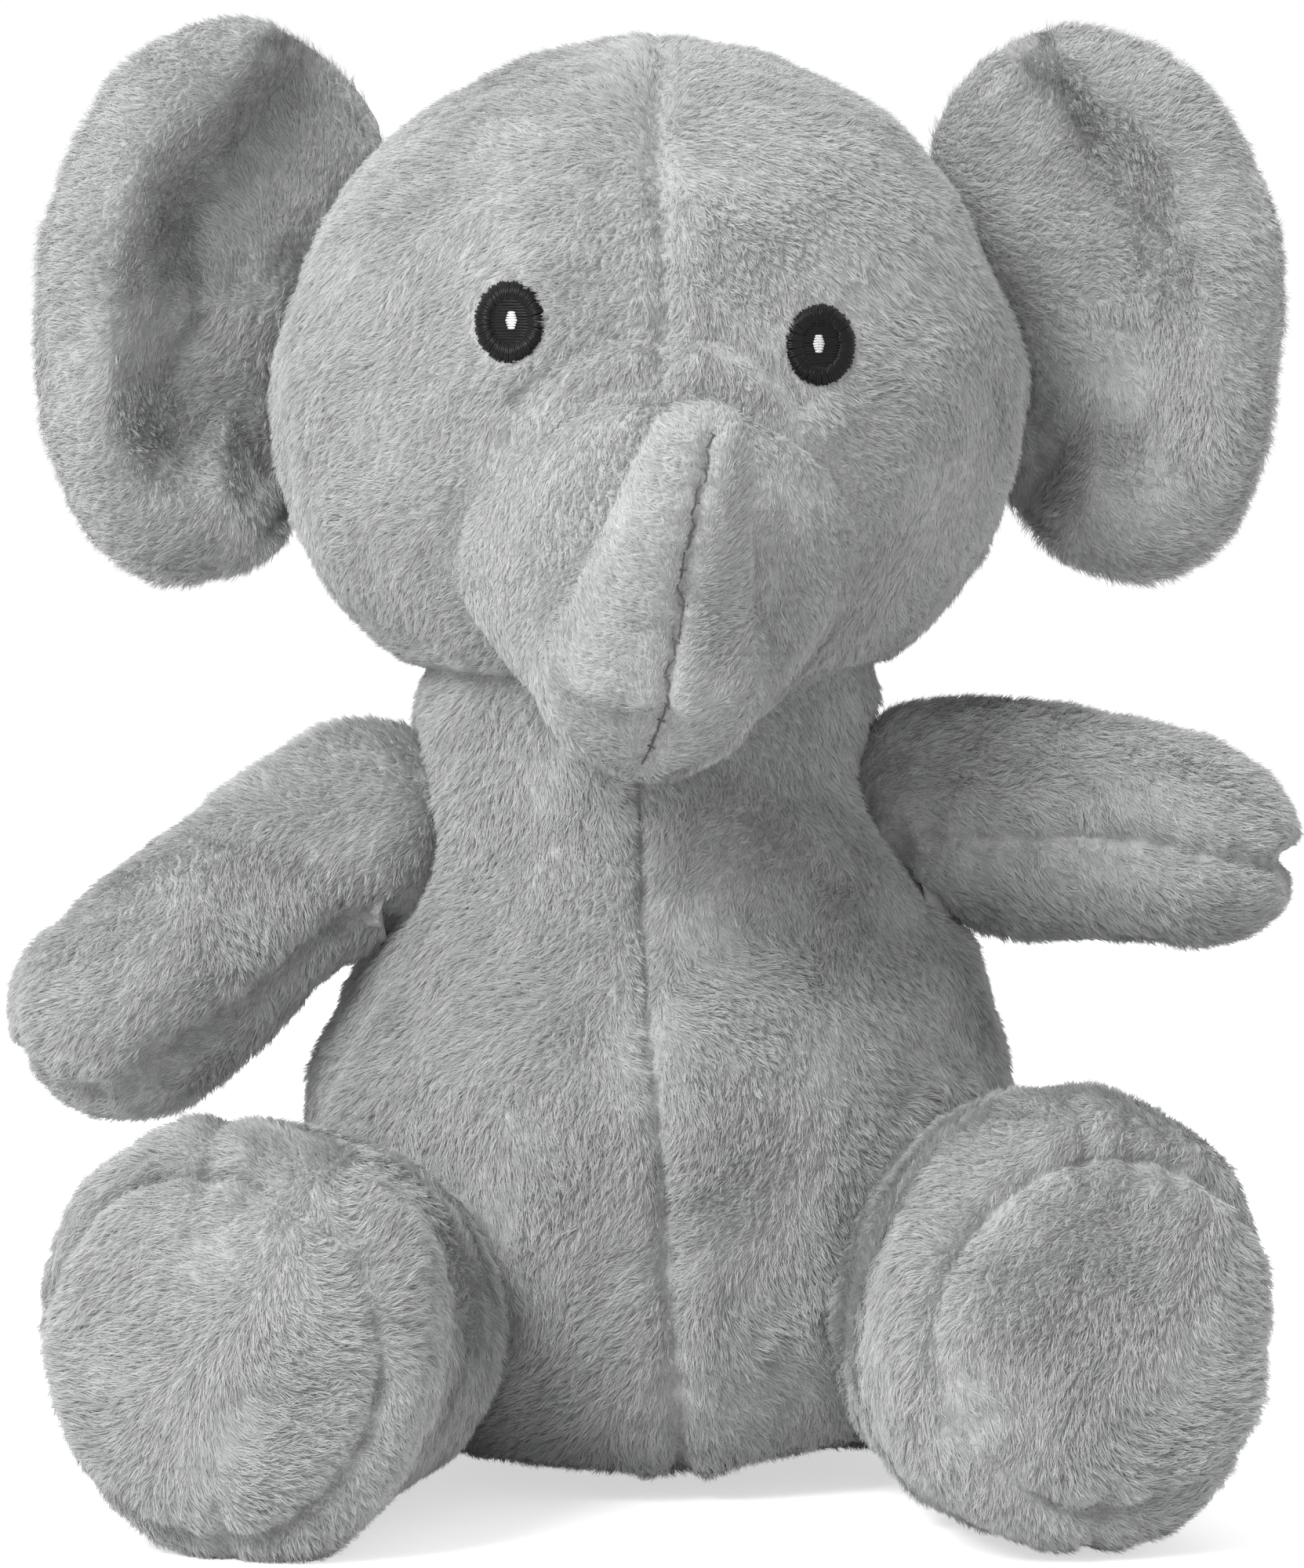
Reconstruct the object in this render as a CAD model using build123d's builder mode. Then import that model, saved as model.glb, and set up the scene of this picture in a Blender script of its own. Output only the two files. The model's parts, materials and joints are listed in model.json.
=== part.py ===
from build123d import *
import os
from math import acos, atan2, cos, degrees, hypot, radians, sin, sqrt

# A sitting stuffed elephant, about 235 mm tall. Millimetres, +Z up, front faces -Y.
# The origin is the middle of the flat seat. "left" and "right" are the elephant's own sides,
# so its left limbs are at +X. Fabric panels are shells sewn round solid stuffing.
FABRIC = 2.0          # backing and pressed pile of the plush, as one layer
GAP = 0.5             # clearance between two bodies that move against each other
SEAM_GAP = 0.02       # neighbouring curved faces of one body stay this far apart

# Torso: a round pear, closed by a dome inside the neck. Head and neck share its upright axis.
BODY_Y = 8.0
AXIS = Axis((0, BODY_Y, 0), (0, 0, 1))
SEAT_RADIUS = 42.0
SEAT_THICKNESS = 3.0
TORSO_PROFILE = [(SEAT_RADIUS, 0), (53, 9), (56, 30), (54.5, 52), (44, 85), (33, 106), (25, 118)]
NECK_Z = 112.0        # both neck joints turn about this height
DOME_RADIUS = 26.0
PELLET_SIZE = (26.0, 18.0)      # radius and height

# Neck stuffing: a cup over the torso's dome, inside the head's socket.
CUP_RADIUS = 30.0
CUP_LOW = 10.0        # height of the cup's rim above the neck centre

# Head: an egg, wider and fuller below its widest ring.
HEAD_Z = 175.0
HEAD_RADIUS = 60.0
HEAD_RISE = 52.0
HEAD_DROP = 58.0

# Muzzle and trunk: a wide cone off the face, then a tip that turns up at the bend.
MUZZLE_START = Vector(0, -24, 150)
MUZZLE_RADIUS = 33.0
TRUNK_BEND = Vector(-1, -68, 128)
TRUNK_TIP = Vector(7, -87, 163)
BEND_RADIUS = 14.0
TIP_RADIUS = 8.0
MUZZLE_CUT_LEAN = 19.0   # the muzzle ends behind a plane that leans forward by this angle
MUZZLE_NECK_ROOM = 38.0  # radius kept clear of the muzzle round the neck

# Eyes: thin patches of thread on the face.
EYE_HEIGHT = 12.4
EYE_WIDTH = 10.6
THREAD = 0.8
HIGHLIGHT = 0.5
EYES = {"right": (-22.9, 183.2, -8), "left": (24.8, 179.6, 8)}

# Ears: flat stuffed leaves beside and behind the cheeks.
EAR_CENTRE = (70.0, 186.0)
EAR_HALF_WIDTH = 29.0
EAR_HALF_HEIGHT = 44.5
EAR_LEAN = 5.0
EAR_Y = 14.0
EAR_HALF_THICKNESS = 5.0
EAR_RIM = 4.0
EAR_HINGE = (58.5, 185.0)  # where the flap's slanted axis passes, across and up
EAR_FLAPS = (0, 15, 7, -10, -20)  # degrees at which the ear's inner edge clears the head

# Arms: tapered bolsters on a round shoulder.
SHOULDERS = {"right": Vector(-44, 5, 99.5), "left": Vector(42, 5, 103.5)}
HANDS = {"right": Vector(-86, -12, 76), "left": Vector(84, -12, 98.5)}
SHOULDER_RADIUS = 17.0
HAND_RADIUS = 15.5

# Legs: thick bolsters that lie on the floor, each closed by a sole.
HIP = Vector(47, -14, 28)
FOOT = Vector(62, -83, 30.0)
HIP_RADIUS = 25.0
FOOT_RADIUS = 29.5
SOLE_ROUNDING = 13.0
SOLE_THICKNESS = 4.0

# Tail and sewn-in label, at the back.
TAIL_ROOT = Vector(0, 63, 52)
TAIL_END = Vector(0, 79, 24)
TAIL_ROOT_RADIUS = 4.5
TAIL_END_RADIUS = 3.2
LABEL_SIZE = (22.0, 14.0, 0.8)  # length out of the seam, height, thickness
LABEL_ANGLE = 128.0
LABEL_RADIUS = 60.0
LABEL_Z = 19.0

# How far each limb turns, in degrees: the sockets in the torso leave room for it.
ARM_LOWERS = {"right": -8, "left": -15}
LEG_LIFTS = 20
TAIL_SWINGS = 25

ROOM_STEP = 0.25      # each further room is cut this much larger, so that no two share a surface
FAR = 400.0           # size of the blocks that cut whole regions away
QUARTERS = {"back_left": 0, "back_right": 90, "front_right": 180, "front_left": 270}

os.makedirs("parts", exist_ok=True)


def save(piece, node):
    """Labels a finished piece and writes it under its node's name."""
    piece.label = node
    export_step(piece, f"parts/{node}.step")


def upright(angle):
    """The plane that holds a turned profile, angle degrees round the body's upright axis from +X."""
    turn = radians(angle)
    return Plane(origin=(0, BODY_Y, 0), x_dir=(cos(turn), sin(turn), 0), z_dir=(sin(turn), -cos(turn), 0))


def pear_face(plane, inset, low):
    """Half section of the torso with its dome, drawn in by inset and cut level at low."""
    rim = [(radius - inset, height) for radius, height in TORSO_PROFILE]
    top = rim[-1][1]
    with BuildSketch(plane) as section:
        with BuildLine():
            Polyline((0, top), (0, inset), (rim[0][0], inset))
            Spline((rim[0][0], inset), *rim[1:])
            Line(rim[-1], (0, top))
        make_face()
        with Locations((0, NECK_Z)):
            Circle(DOME_RADIUS - inset)
        with Locations((FAR / 2, low + FAR / 2)):
            Rectangle(FAR, FAR, mode=Mode.INTERSECT)
    return section.sketch


def egg_face(plane, inset, socket):
    """Half section of the head, drawn in by inset, with the neck's socket cut out of it."""
    radius = HEAD_RADIUS - inset
    rise = HEAD_RISE - inset
    drop = HEAD_DROP - inset
    slant = radius * sqrt(0.5)
    with BuildSketch(plane) as section:
        with BuildLine():
            Spline(
                (0, HEAD_Z - drop),
                (slant, HEAD_Z - drop * sqrt(0.5)),
                (radius, HEAD_Z),
                (slant, HEAD_Z + rise * sqrt(0.5)),
                (0, HEAD_Z + rise),
                tangents=[(1, 0), (-1, 0)],
            )
            Line((0, HEAD_Z + rise), (0, HEAD_Z - drop))
        make_face()
        if socket:
            with Locations((0, NECK_Z)):
                Circle(socket, mode=Mode.SUBTRACT)
    return section.sketch


def turned(angle, arc, outer, inner=None):
    """A solid turned round the upright axis from a face, less an inner face, through arc degrees."""
    with BuildPart() as body:
        with BuildSketch(upright(angle)):
            add(outer)
            if inner:
                add(inner, mode=Mode.SUBTRACT)
        revolve(axis=AXIS, revolution_arc=arc)
    return body.part


def egg(inset):
    """The head's whole shape, drawn in by inset, to trim what is sewn on it."""
    return turned(0, 360, egg_face(Plane.XY, inset, 0))


def along(start, end):
    """A plane at start whose X axis points at end and whose Z axis is level with the floor."""
    direction = (end - start).normalized()
    return Plane(origin=start, x_dir=direction, z_dir=Vector(-direction.Y, direction.X, 0))


def bolster(start, end, root_radius, end_radius, inset=0.0, rounding=None):
    """A stuffed limb: a ball at start, a straight taper, and a round or flattened end."""
    plane = along(start, end)
    length = (end - start).length
    root = root_radius - inset
    tip = end_radius - inset
    corner = tip if rounding is None else rounding
    rise = tip - corner
    turn = atan2(rise, length) + acos((root - corner) / hypot(length, rise))
    leave = (root * cos(turn), root * sin(turn))
    meet = (length + corner * cos(turn), rise + corner * sin(turn))
    with BuildPart() as limb:
        with BuildSketch(plane):
            with BuildLine():
                CenterArc((0, 0), root, degrees(turn), 180 - degrees(turn))
                Line(leave, meet)
                CenterArc((length, rise), corner, 0, degrees(turn))
                if rise > 0:
                    Line((length + corner, rise), (length + corner, 0))
                Line((-root, 0), (length + corner, 0))
            make_face()
        revolve(axis=Axis(plane.origin, plane.x_dir))
    return limb.part


def room(start, end, root_radius, end_radius, hinge, angles, rounding=None):
    """The space that a limb needs at each of these angles, with clearance all round."""
    spaces = []
    for step, angle in enumerate(angles):
        clear = GAP + step * ROOM_STEP
        corner = None if rounding is None else rounding + clear
        limb = bolster(start, end, root_radius, end_radius, -clear, corner)
        spaces.append(limb.rotate(Axis(start, hinge), angle))
    return spaces


def ball(centre, radius):
    """A plain ball."""
    with BuildPart(Plane(origin=centre)) as body:
        Sphere(radius)
    return body.part


def block(low, high):
    """A box between two corners, used to part shells along their seams."""
    middle = [(a + b) / 2 for a, b in zip(low, high)]
    with BuildPart(Plane(origin=middle)) as body:
        Box(*[b - a for a, b in zip(low, high)])
    return body.part


def half(axis, side, at=0.0):
    """Everything on one side of a plane across the named axis."""
    low = [-FAR, -FAR, -FAR]
    high = [FAR, FAR, FAR]
    index = "XYZ".index(axis)
    if side > 0:
        low[index] = at
    else:
        high[index] = at
    return block(low, high)


def half_across(plane, side, offset=0.0):
    """Everything on one side of a slanted plane."""
    with BuildPart(plane.offset(offset)) as body:
        if side > 0:
            Box(2 * FAR, 2 * FAR, FAR, align=(Align.CENTER, Align.CENTER, Align.MIN))
        else:
            Box(2 * FAR, 2 * FAR, FAR, align=(Align.CENTER, Align.CENTER, Align.MAX))
    return body.part


def mirrored(point):
    """A point of the left side, moved to the right side."""
    return Vector(-point.X, point.Y, point.Z)


hips = {"left": HIP, "right": mirrored(HIP)}
feet = {"left": FOOT, "right": mirrored(FOOT)}
neck_centre = Vector(0, BODY_Y, NECK_Z)

# ---- Torso -------------------------------------------------------------------------------
rooms = []
for side, hinge in {"right": (0, 1, 0), "left": (0, -1, 0)}.items():
    rooms += room(
        SHOULDERS[side], HANDS[side], SHOULDER_RADIUS, HAND_RADIUS, hinge, (ARM_LOWERS[side], 0)
    )
    rooms += room(hips[side], feet[side], HIP_RADIUS, FOOT_RADIUS, (-1, 0, 0), (0, LEG_LIFTS), SOLE_ROUNDING)
rooms += room(
    TAIL_ROOT, TAIL_END, TAIL_ROOT_RADIUS, TAIL_END_RADIUS, (0, 1, 0), (-TAIL_SWINGS, 0, TAIL_SWINGS)
)

with BuildPart() as seat_panel:
    add(turned(0, 360, pear_face(Plane.XY, 0, 0)))
    add(block((-FAR, -FAR, SEAT_THICKNESS), (FAR, FAR, FAR)), mode=Mode.SUBTRACT)
save(seat_panel.part, "seat_panel")

for corner, angle in QUARTERS.items():
    outer = pear_face(Plane.XY, 0, SEAT_THICKNESS)
    inner = pear_face(Plane.XY, FABRIC, SEAT_THICKNESS)
    with BuildPart() as torso_panel:
        add(turned(angle, 90, outer, inner))
        for space in rooms:
            add(space, mode=Mode.SUBTRACT)
    save(torso_panel.part, f"torso_{corner}")

with BuildPart(Plane.XY.offset(SEAT_THICKNESS + PELLET_SIZE[1] / 2 + FABRIC)) as pellet_bag:
    with Locations((0, BODY_Y + 6, 0)):
        Cylinder(PELLET_SIZE[0], PELLET_SIZE[1])
    fillet(pellet_bag.edges(), PELLET_SIZE[1] / 2 - 1)
save(pellet_bag.part, "pellet_bag")

with BuildPart() as torso_filling:
    add(turned(0, 360, pear_face(Plane.XY, FABRIC + SEAM_GAP, SEAT_THICKNESS + SEAM_GAP)))
    for space in rooms:
        add(space, mode=Mode.SUBTRACT)
    add(pellet_bag.part, mode=Mode.SUBTRACT)
save(torso_filling.part, "torso_filling")

with BuildPart() as care_label:
    with BuildSketch(upright(LABEL_ANGLE)):
        with Locations((LABEL_RADIUS, LABEL_Z)):
            Rectangle(LABEL_SIZE[0], LABEL_SIZE[1])
    extrude(amount=LABEL_SIZE[2])
    add(turned(0, 360, pear_face(Plane.XY, -SEAM_GAP, 0)), mode=Mode.SUBTRACT)
save(care_label.part, "care_label")

# ---- Neck --------------------------------------------------------------------------------
with BuildPart() as neck_filling:
    with BuildSketch(upright(0)):
        with Locations((0, NECK_Z)):
            Circle(CUP_RADIUS)
            Circle(DOME_RADIUS + GAP, mode=Mode.SUBTRACT)
        with Locations((FAR / 2, NECK_Z + CUP_LOW + FAR / 2)):
            Rectangle(FAR, FAR, mode=Mode.INTERSECT)
    revolve(axis=AXIS)
save(neck_filling.part, "neck_filling")

# ---- Head --------------------------------------------------------------------------------
for corner, angle in QUARTERS.items():
    outer = egg_face(Plane.XY, 0, CUP_RADIUS + GAP)
    save(turned(angle, 90, outer, egg_face(Plane.XY, FABRIC, 0)), f"head_{corner}")
save(turned(0, 360, egg_face(Plane.XY, FABRIC + SEAM_GAP, CUP_RADIUS + GAP)), "head_filling")

for side, (x, z, lean) in EYES.items():
    thread_shell = egg(-THREAD) - egg(-SEAM_GAP)
    highlight_shell = egg(-THREAD - HIGHLIGHT) - egg(-THREAD - SEAM_GAP)
    eye_plane = Plane(origin=(x, 0, z), x_dir=(1, 0, 0), z_dir=(0, -1, 0))
    with BuildPart() as eye:
        with BuildSketch(eye_plane):
            Ellipse(EYE_WIDTH / 2, EYE_HEIGHT / 2, rotation=lean)
        extrude(amount=FAR / 4)
        add(thread_shell, mode=Mode.INTERSECT)
    save(eye.part, f"eye_{side}_embroidery")
    with BuildPart() as highlight:
        with BuildSketch(eye_plane):
            Ellipse(1.0, 1.5)
        extrude(amount=FAR / 4)
        add(highlight_shell, mode=Mode.INTERSECT)
    save(highlight.part, f"eye_{side}_highlight")

# ---- Muzzle, on the head -----------------------------------------------------------------
muzzle_outside = bolster(MUZZLE_START, TRUNK_BEND, MUZZLE_RADIUS, BEND_RADIUS)
muzzle_inside = bolster(MUZZLE_START, TRUNK_BEND, MUZZLE_RADIUS, BEND_RADIUS, inset=FABRIC)
lean = radians(MUZZLE_CUT_LEAN)
muzzle_cut = Plane(origin=TRUNK_BEND, z_dir=(0, cos(lean), sin(lean)))
muzzle_region = half_across(muzzle_cut, 1, BEND_RADIUS + GAP) - egg(-SEAM_GAP)
muzzle_region = muzzle_region - ball(neck_centre, MUZZLE_NECK_ROOM)
for side, sign in {"left": 1, "right": -1}.items():
    with BuildPart() as muzzle_panel:
        add(muzzle_outside)
        add(muzzle_inside, mode=Mode.SUBTRACT)
        add(muzzle_region, mode=Mode.INTERSECT)
        add(half("X", sign), mode=Mode.INTERSECT)
    save(muzzle_panel.part, f"muzzle_{side}_panel")
with BuildPart() as muzzle_filling:
    add(bolster(MUZZLE_START, TRUNK_BEND, MUZZLE_RADIUS, BEND_RADIUS, inset=FABRIC + SEAM_GAP))
    add(muzzle_region, mode=Mode.INTERSECT)
save(muzzle_filling.part, "muzzle_filling")

# ---- Trunk tip ---------------------------------------------------------------------------
trunk_outside = bolster(TRUNK_BEND, TRUNK_TIP, BEND_RADIUS, TIP_RADIUS)
trunk_inside = bolster(TRUNK_BEND, TRUNK_TIP, BEND_RADIUS, TIP_RADIUS, inset=FABRIC)
trunk_seam = Plane(origin=TRUNK_BEND, x_dir=(0, 1, 0), z_dir=(TRUNK_TIP - TRUNK_BEND).cross(Vector(0, 1, 0)))
for side, sign in {"left": 1, "right": -1}.items():
    with BuildPart() as trunk_panel:
        add(trunk_outside)
        add(trunk_inside, mode=Mode.SUBTRACT)
        add(half_across(trunk_seam, -sign), mode=Mode.INTERSECT)
    save(trunk_panel.part, f"trunk_{side}_panel")
save(bolster(TRUNK_BEND, TRUNK_TIP, BEND_RADIUS, TIP_RADIUS, inset=FABRIC + SEAM_GAP), "trunk_filling")

# ---- Ears --------------------------------------------------------------------------------
def head_spaces(sign):
    """The head with clearance as the ear meets it at each angle of its flap."""
    hinge = Axis((sign * EAR_HINGE[0], EAR_Y, EAR_HINGE[1]), (0.2, 0, -sign))
    spaces = []
    for step, angle in enumerate(EAR_FLAPS):
        spaces.append(egg(-2 * GAP - step * ROOM_STEP).rotate(hinge, -angle))
    return spaces


def ear_leaf(sign, front, back, inset=0.0):
    """The ear's outline, solid from y = front to y = back and drawn in by inset."""
    centre = (sign * EAR_CENTRE[0], back, EAR_CENTRE[1])
    with BuildPart() as leaf:
        with BuildSketch(Plane(origin=centre, x_dir=(1, 0, 0), z_dir=(0, -1, 0))):
            Ellipse(EAR_HALF_WIDTH - inset, EAR_HALF_HEIGHT - inset, rotation=sign * EAR_LEAN)
        extrude(amount=back - front)
    return leaf.part


ear_front_y = EAR_Y - EAR_HALF_THICKNESS
ear_back_y = EAR_Y + EAR_HALF_THICKNESS
for side, sign in {"left": 1, "right": -1}.items():
    pocket = ear_leaf(sign, ear_front_y + FABRIC, ear_back_y - FABRIC, EAR_RIM)
    spaces = head_spaces(sign)
    for face, low, high, outer in (("front", ear_front_y, EAR_Y, 0), ("back", EAR_Y, ear_back_y, -1)):
        with BuildPart() as ear_panel:
            add(ear_leaf(sign, low, high))
            fillet(ear_panel.faces().sort_by(Axis.Y)[outer].edges(), EAR_RIM - 0.5)
            add(pocket, mode=Mode.SUBTRACT)
            for space in spaces:
                add(space, mode=Mode.SUBTRACT)
        save(ear_panel.part, f"ear_{side}_{face}")
    with BuildPart() as wadding:
        add(pocket)
        for space in spaces:
            add(space, mode=Mode.SUBTRACT)
    save(wadding.part, f"ear_{side}_wadding")

# ---- Arms --------------------------------------------------------------------------------
for side in SHOULDERS:
    start, end = SHOULDERS[side], HANDS[side]
    seam = Plane(origin=start, x_dir=(end - start), z_dir=(end - start).cross(Vector(0, 1, 0)))
    up = 1 if seam.z_dir.Z > 0 else -1
    outside = bolster(start, end, SHOULDER_RADIUS, HAND_RADIUS)
    inside = bolster(start, end, SHOULDER_RADIUS, HAND_RADIUS, inset=FABRIC)
    for face, sign in {"upper": up, "lower": -up}.items():
        with BuildPart() as arm_panel:
            add(outside)
            add(inside, mode=Mode.SUBTRACT)
            add(half_across(seam, sign), mode=Mode.INTERSECT)
        save(arm_panel.part, f"arm_{side}_{face}")
    filling = bolster(start, end, SHOULDER_RADIUS, HAND_RADIUS, inset=FABRIC + SEAM_GAP)
    save(filling, f"arm_{side}_filling")

# ---- Legs --------------------------------------------------------------------------------
for side, outward in {"left": 1, "right": -1}.items():
    start, end = hips[side], feet[side]
    axis = (end - start).normalized()
    seam = Plane(origin=start, x_dir=axis, z_dir=axis.cross(Vector(0, 0, 1)))
    outer = 1 if seam.z_dir.X * outward > 0 else -1
    sole_plane = Plane(origin=end + axis * (SOLE_ROUNDING - SOLE_THICKNESS), z_dir=axis)
    outside = bolster(start, end, HIP_RADIUS, FOOT_RADIUS, rounding=SOLE_ROUNDING)
    inside = bolster(start, end, HIP_RADIUS, FOOT_RADIUS, inset=FABRIC, rounding=SOLE_ROUNDING - FABRIC)
    for face, sign in {"outer": outer, "inner": -outer}.items():
        with BuildPart() as leg_panel:
            add(outside)
            add(inside, mode=Mode.SUBTRACT)
            add(half_across(seam, sign), mode=Mode.INTERSECT)
            add(half_across(sole_plane, -1), mode=Mode.INTERSECT)
        save(leg_panel.part, f"leg_{side}_{face}")
    with BuildPart() as sole:
        add(outside)
        add(half_across(sole_plane, 1), mode=Mode.INTERSECT)
    save(sole.part, f"leg_{side}_sole")
    with BuildPart() as leg_filling:
        add(bolster(start, end, HIP_RADIUS, FOOT_RADIUS, FABRIC + SEAM_GAP, SOLE_ROUNDING - FABRIC))
        add(half_across(sole_plane, -1, -SEAM_GAP), mode=Mode.INTERSECT)
    save(leg_filling.part, f"leg_{side}_filling")

# ---- Tail --------------------------------------------------------------------------------
save(bolster(TAIL_ROOT, TAIL_END, TAIL_ROOT_RADIUS, TAIL_END_RADIUS), "tail")
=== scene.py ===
"""Looks of the stuffed elephant: plush skins, seams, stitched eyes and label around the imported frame.

Sizes in the piece classes are millimetres in the frame's own axes. Meshes are made in metres.
"""

import json
import logging
import math
from collections.abc import Callable, Sequence
from dataclasses import dataclass, field
from enum import Enum
from typing import ClassVar, Protocol

import bmesh
import bpy
import numpy as np
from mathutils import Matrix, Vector
from mathutils.bvhtree import BVHTree


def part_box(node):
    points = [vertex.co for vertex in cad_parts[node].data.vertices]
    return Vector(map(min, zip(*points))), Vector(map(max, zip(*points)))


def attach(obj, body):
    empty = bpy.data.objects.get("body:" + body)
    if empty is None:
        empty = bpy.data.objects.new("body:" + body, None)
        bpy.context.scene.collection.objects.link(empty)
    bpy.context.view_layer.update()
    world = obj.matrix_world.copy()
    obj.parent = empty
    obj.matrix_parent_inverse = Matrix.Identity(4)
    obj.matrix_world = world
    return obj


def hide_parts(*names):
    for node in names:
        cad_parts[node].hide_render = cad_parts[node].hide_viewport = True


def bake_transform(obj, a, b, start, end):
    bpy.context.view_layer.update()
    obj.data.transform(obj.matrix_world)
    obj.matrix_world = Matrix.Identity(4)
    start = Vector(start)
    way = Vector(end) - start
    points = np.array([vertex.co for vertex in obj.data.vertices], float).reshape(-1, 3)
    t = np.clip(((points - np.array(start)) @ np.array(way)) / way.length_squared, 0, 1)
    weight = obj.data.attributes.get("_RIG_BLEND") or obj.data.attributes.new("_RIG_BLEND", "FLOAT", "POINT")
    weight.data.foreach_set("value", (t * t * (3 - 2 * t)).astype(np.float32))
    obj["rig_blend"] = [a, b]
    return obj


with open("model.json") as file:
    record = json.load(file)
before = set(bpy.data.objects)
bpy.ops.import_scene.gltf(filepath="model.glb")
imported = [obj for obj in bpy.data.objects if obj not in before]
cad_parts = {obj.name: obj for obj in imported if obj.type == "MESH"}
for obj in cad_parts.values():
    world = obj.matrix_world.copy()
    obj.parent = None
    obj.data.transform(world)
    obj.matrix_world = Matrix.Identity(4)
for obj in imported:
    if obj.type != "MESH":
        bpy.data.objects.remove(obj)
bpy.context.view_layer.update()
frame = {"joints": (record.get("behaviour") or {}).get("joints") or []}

log = logging.getLogger("elephant")

MM = 0.001
FRONT = np.array([0.0, -1.0, 0.0])
UP = np.array([0.0, 0.0, 1.0])
PILE = 2.1  # length of the pile

Array = np.ndarray


class Side(Enum):
    """The elephant's own sides; the value is the sign of x there."""

    RIGHT = -1
    LEFT = 1

    @property
    def word(self) -> str:
        """The side's name as the frame's nodes and bodies spell it."""
        return self.name.lower()


# ---------------------------------------------------------------- places read from the frame


def span(*nodes: str) -> tuple[Array, Array]:
    """Measures the box that holds several frame nodes.

    Args:
        nodes: names of frame nodes.

    Returns:
        The lowest and the highest corner, in millimetres.
    """
    corners = np.array([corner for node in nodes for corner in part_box(node)]) / MM
    return corners.min(0), corners.max(0)


def joint_place(name: str) -> Array:
    """Returns the place of a frame joint, in millimetres."""
    found = next(joint for joint in frame["joints"] if joint["name"] == name)
    return np.array(found["pos_m"], float) / MM


# ---------------------------------------------------------------- small geometry helpers


def unit(vectors: Array) -> Array:
    """Returns vectors scaled to length one, along their last axis."""
    length = np.linalg.norm(vectors, axis=-1, keepdims=True)
    return vectors / np.maximum(length, 1e-9)


def smooth_step(value: Array, low: float, high: float) -> Array:
    """Returns a smooth rise from 0 at low to 1 at high."""
    t = np.clip((value - low) / (high - low), 0, 1)
    return t * t * (3 - 2 * t)


def through(points: Sequence[Sequence[float]], count: int) -> Array:
    """Runs a smooth curve through points, evenly spaced along its length.

    Args:
        points: the points, of any number of columns.
        count: how many points to return.

    Returns:
        An array of count rows on a centripetal curve through the points.
    """
    p = np.array(points, float)
    ends = np.vstack([2 * p[0] - p[1], p, 2 * p[-1] - p[-2]])
    t = np.linspace(0, 1, 24, endpoint=False)[:, None]
    runs = []
    for a, b, c, d in zip(ends, ends[1:], ends[2:], ends[3:]):
        runs.append(
            0.5 * (2 * b + (c - a) * t + (2 * a - 5 * b + 4 * c - d) * t**2 + (3 * b - a - 3 * c + d) * t**3)
        )
    dense = np.vstack([*runs, p[-1:]])
    gone = np.concatenate([[0], np.cumsum(np.linalg.norm(np.diff(dense, axis=0), axis=1))])
    wanted = np.linspace(0, gone[-1], count)
    return np.column_stack([np.interp(wanted, gone, dense[:, i]) for i in range(dense.shape[1])])


class SoftNoise:
    """A smooth seeded noise in space, about -1 to 1, as a sum of slanted waves."""

    def __init__(self, seed: int, scale: float, waves: int = 22) -> None:
        """Draws the waves.

        Args:
            seed: the seed of the draw.
            scale: the size of a typical patch, in millimetres.
            waves: how many waves are summed.
        """
        draw = np.random.default_rng(seed)
        self.waves = unit(draw.normal(size=(waves, 3))) * draw.uniform(0.6, 1.6, (waves, 1)) * math.pi / scale
        self.phases = draw.uniform(0, 2 * math.pi, waves)
        self.gain = math.sqrt(2 / waves) * 0.8

    def at(self, points: Array) -> Array:
        """Returns the noise at each point."""
        return np.sin(points @ self.waves.T + self.phases).sum(1) * self.gain


@dataclass
class Seam:
    """A sewn line on a skin: it pulls the cloth in, puffs it beside the line and puckers it along it."""

    path: Array
    depth: float = 1.0
    width: float = 1.7
    puff: float = 0.35
    reach: float = 5.0
    pucker: float = 0.16
    pitch: float = 7.0
    trap: float = 0.55

    def nearest(self, points: Array) -> tuple[Array, Array]:
        """Measures points against the line.

        Args:
            points: places in millimetres.

        Returns:
            Each point's distance from the line, and how far along the line its nearest place is.
        """
        length = np.linalg.norm(np.diff(self.path, axis=0), axis=1).sum()
        line = through(self.path, max(8, int(length / 0.8)))
        gone = np.linspace(0, length, len(line))
        away, along = np.empty(len(points)), np.empty(len(points))
        for start in range(0, len(points), 6000):
            part = points[start : start + 6000].astype(np.float32)
            d = np.linalg.norm(part[:, None] - line[None].astype(np.float32), axis=2)
            best = d.argmin(1)
            away[start : start + 6000] = d[np.arange(len(part)), best]
            along[start : start + 6000] = gone[best]
        return away, along

    def push(self, away: Array, along: Array) -> Array:
        """Returns how far each point moves out along its normal."""
        groove = -self.depth * np.exp(-((away / self.width) ** 2))
        swell = self.puff * np.exp(-(((away - self.reach) / (0.6 * self.reach)) ** 2))
        wave = np.sin(2 * math.pi * along / self.pitch + 1.3 * np.sin(along / 9.0))
        return groove + swell + self.pucker * wave * np.exp(-((away / (2.4 * self.width)) ** 2))


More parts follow.
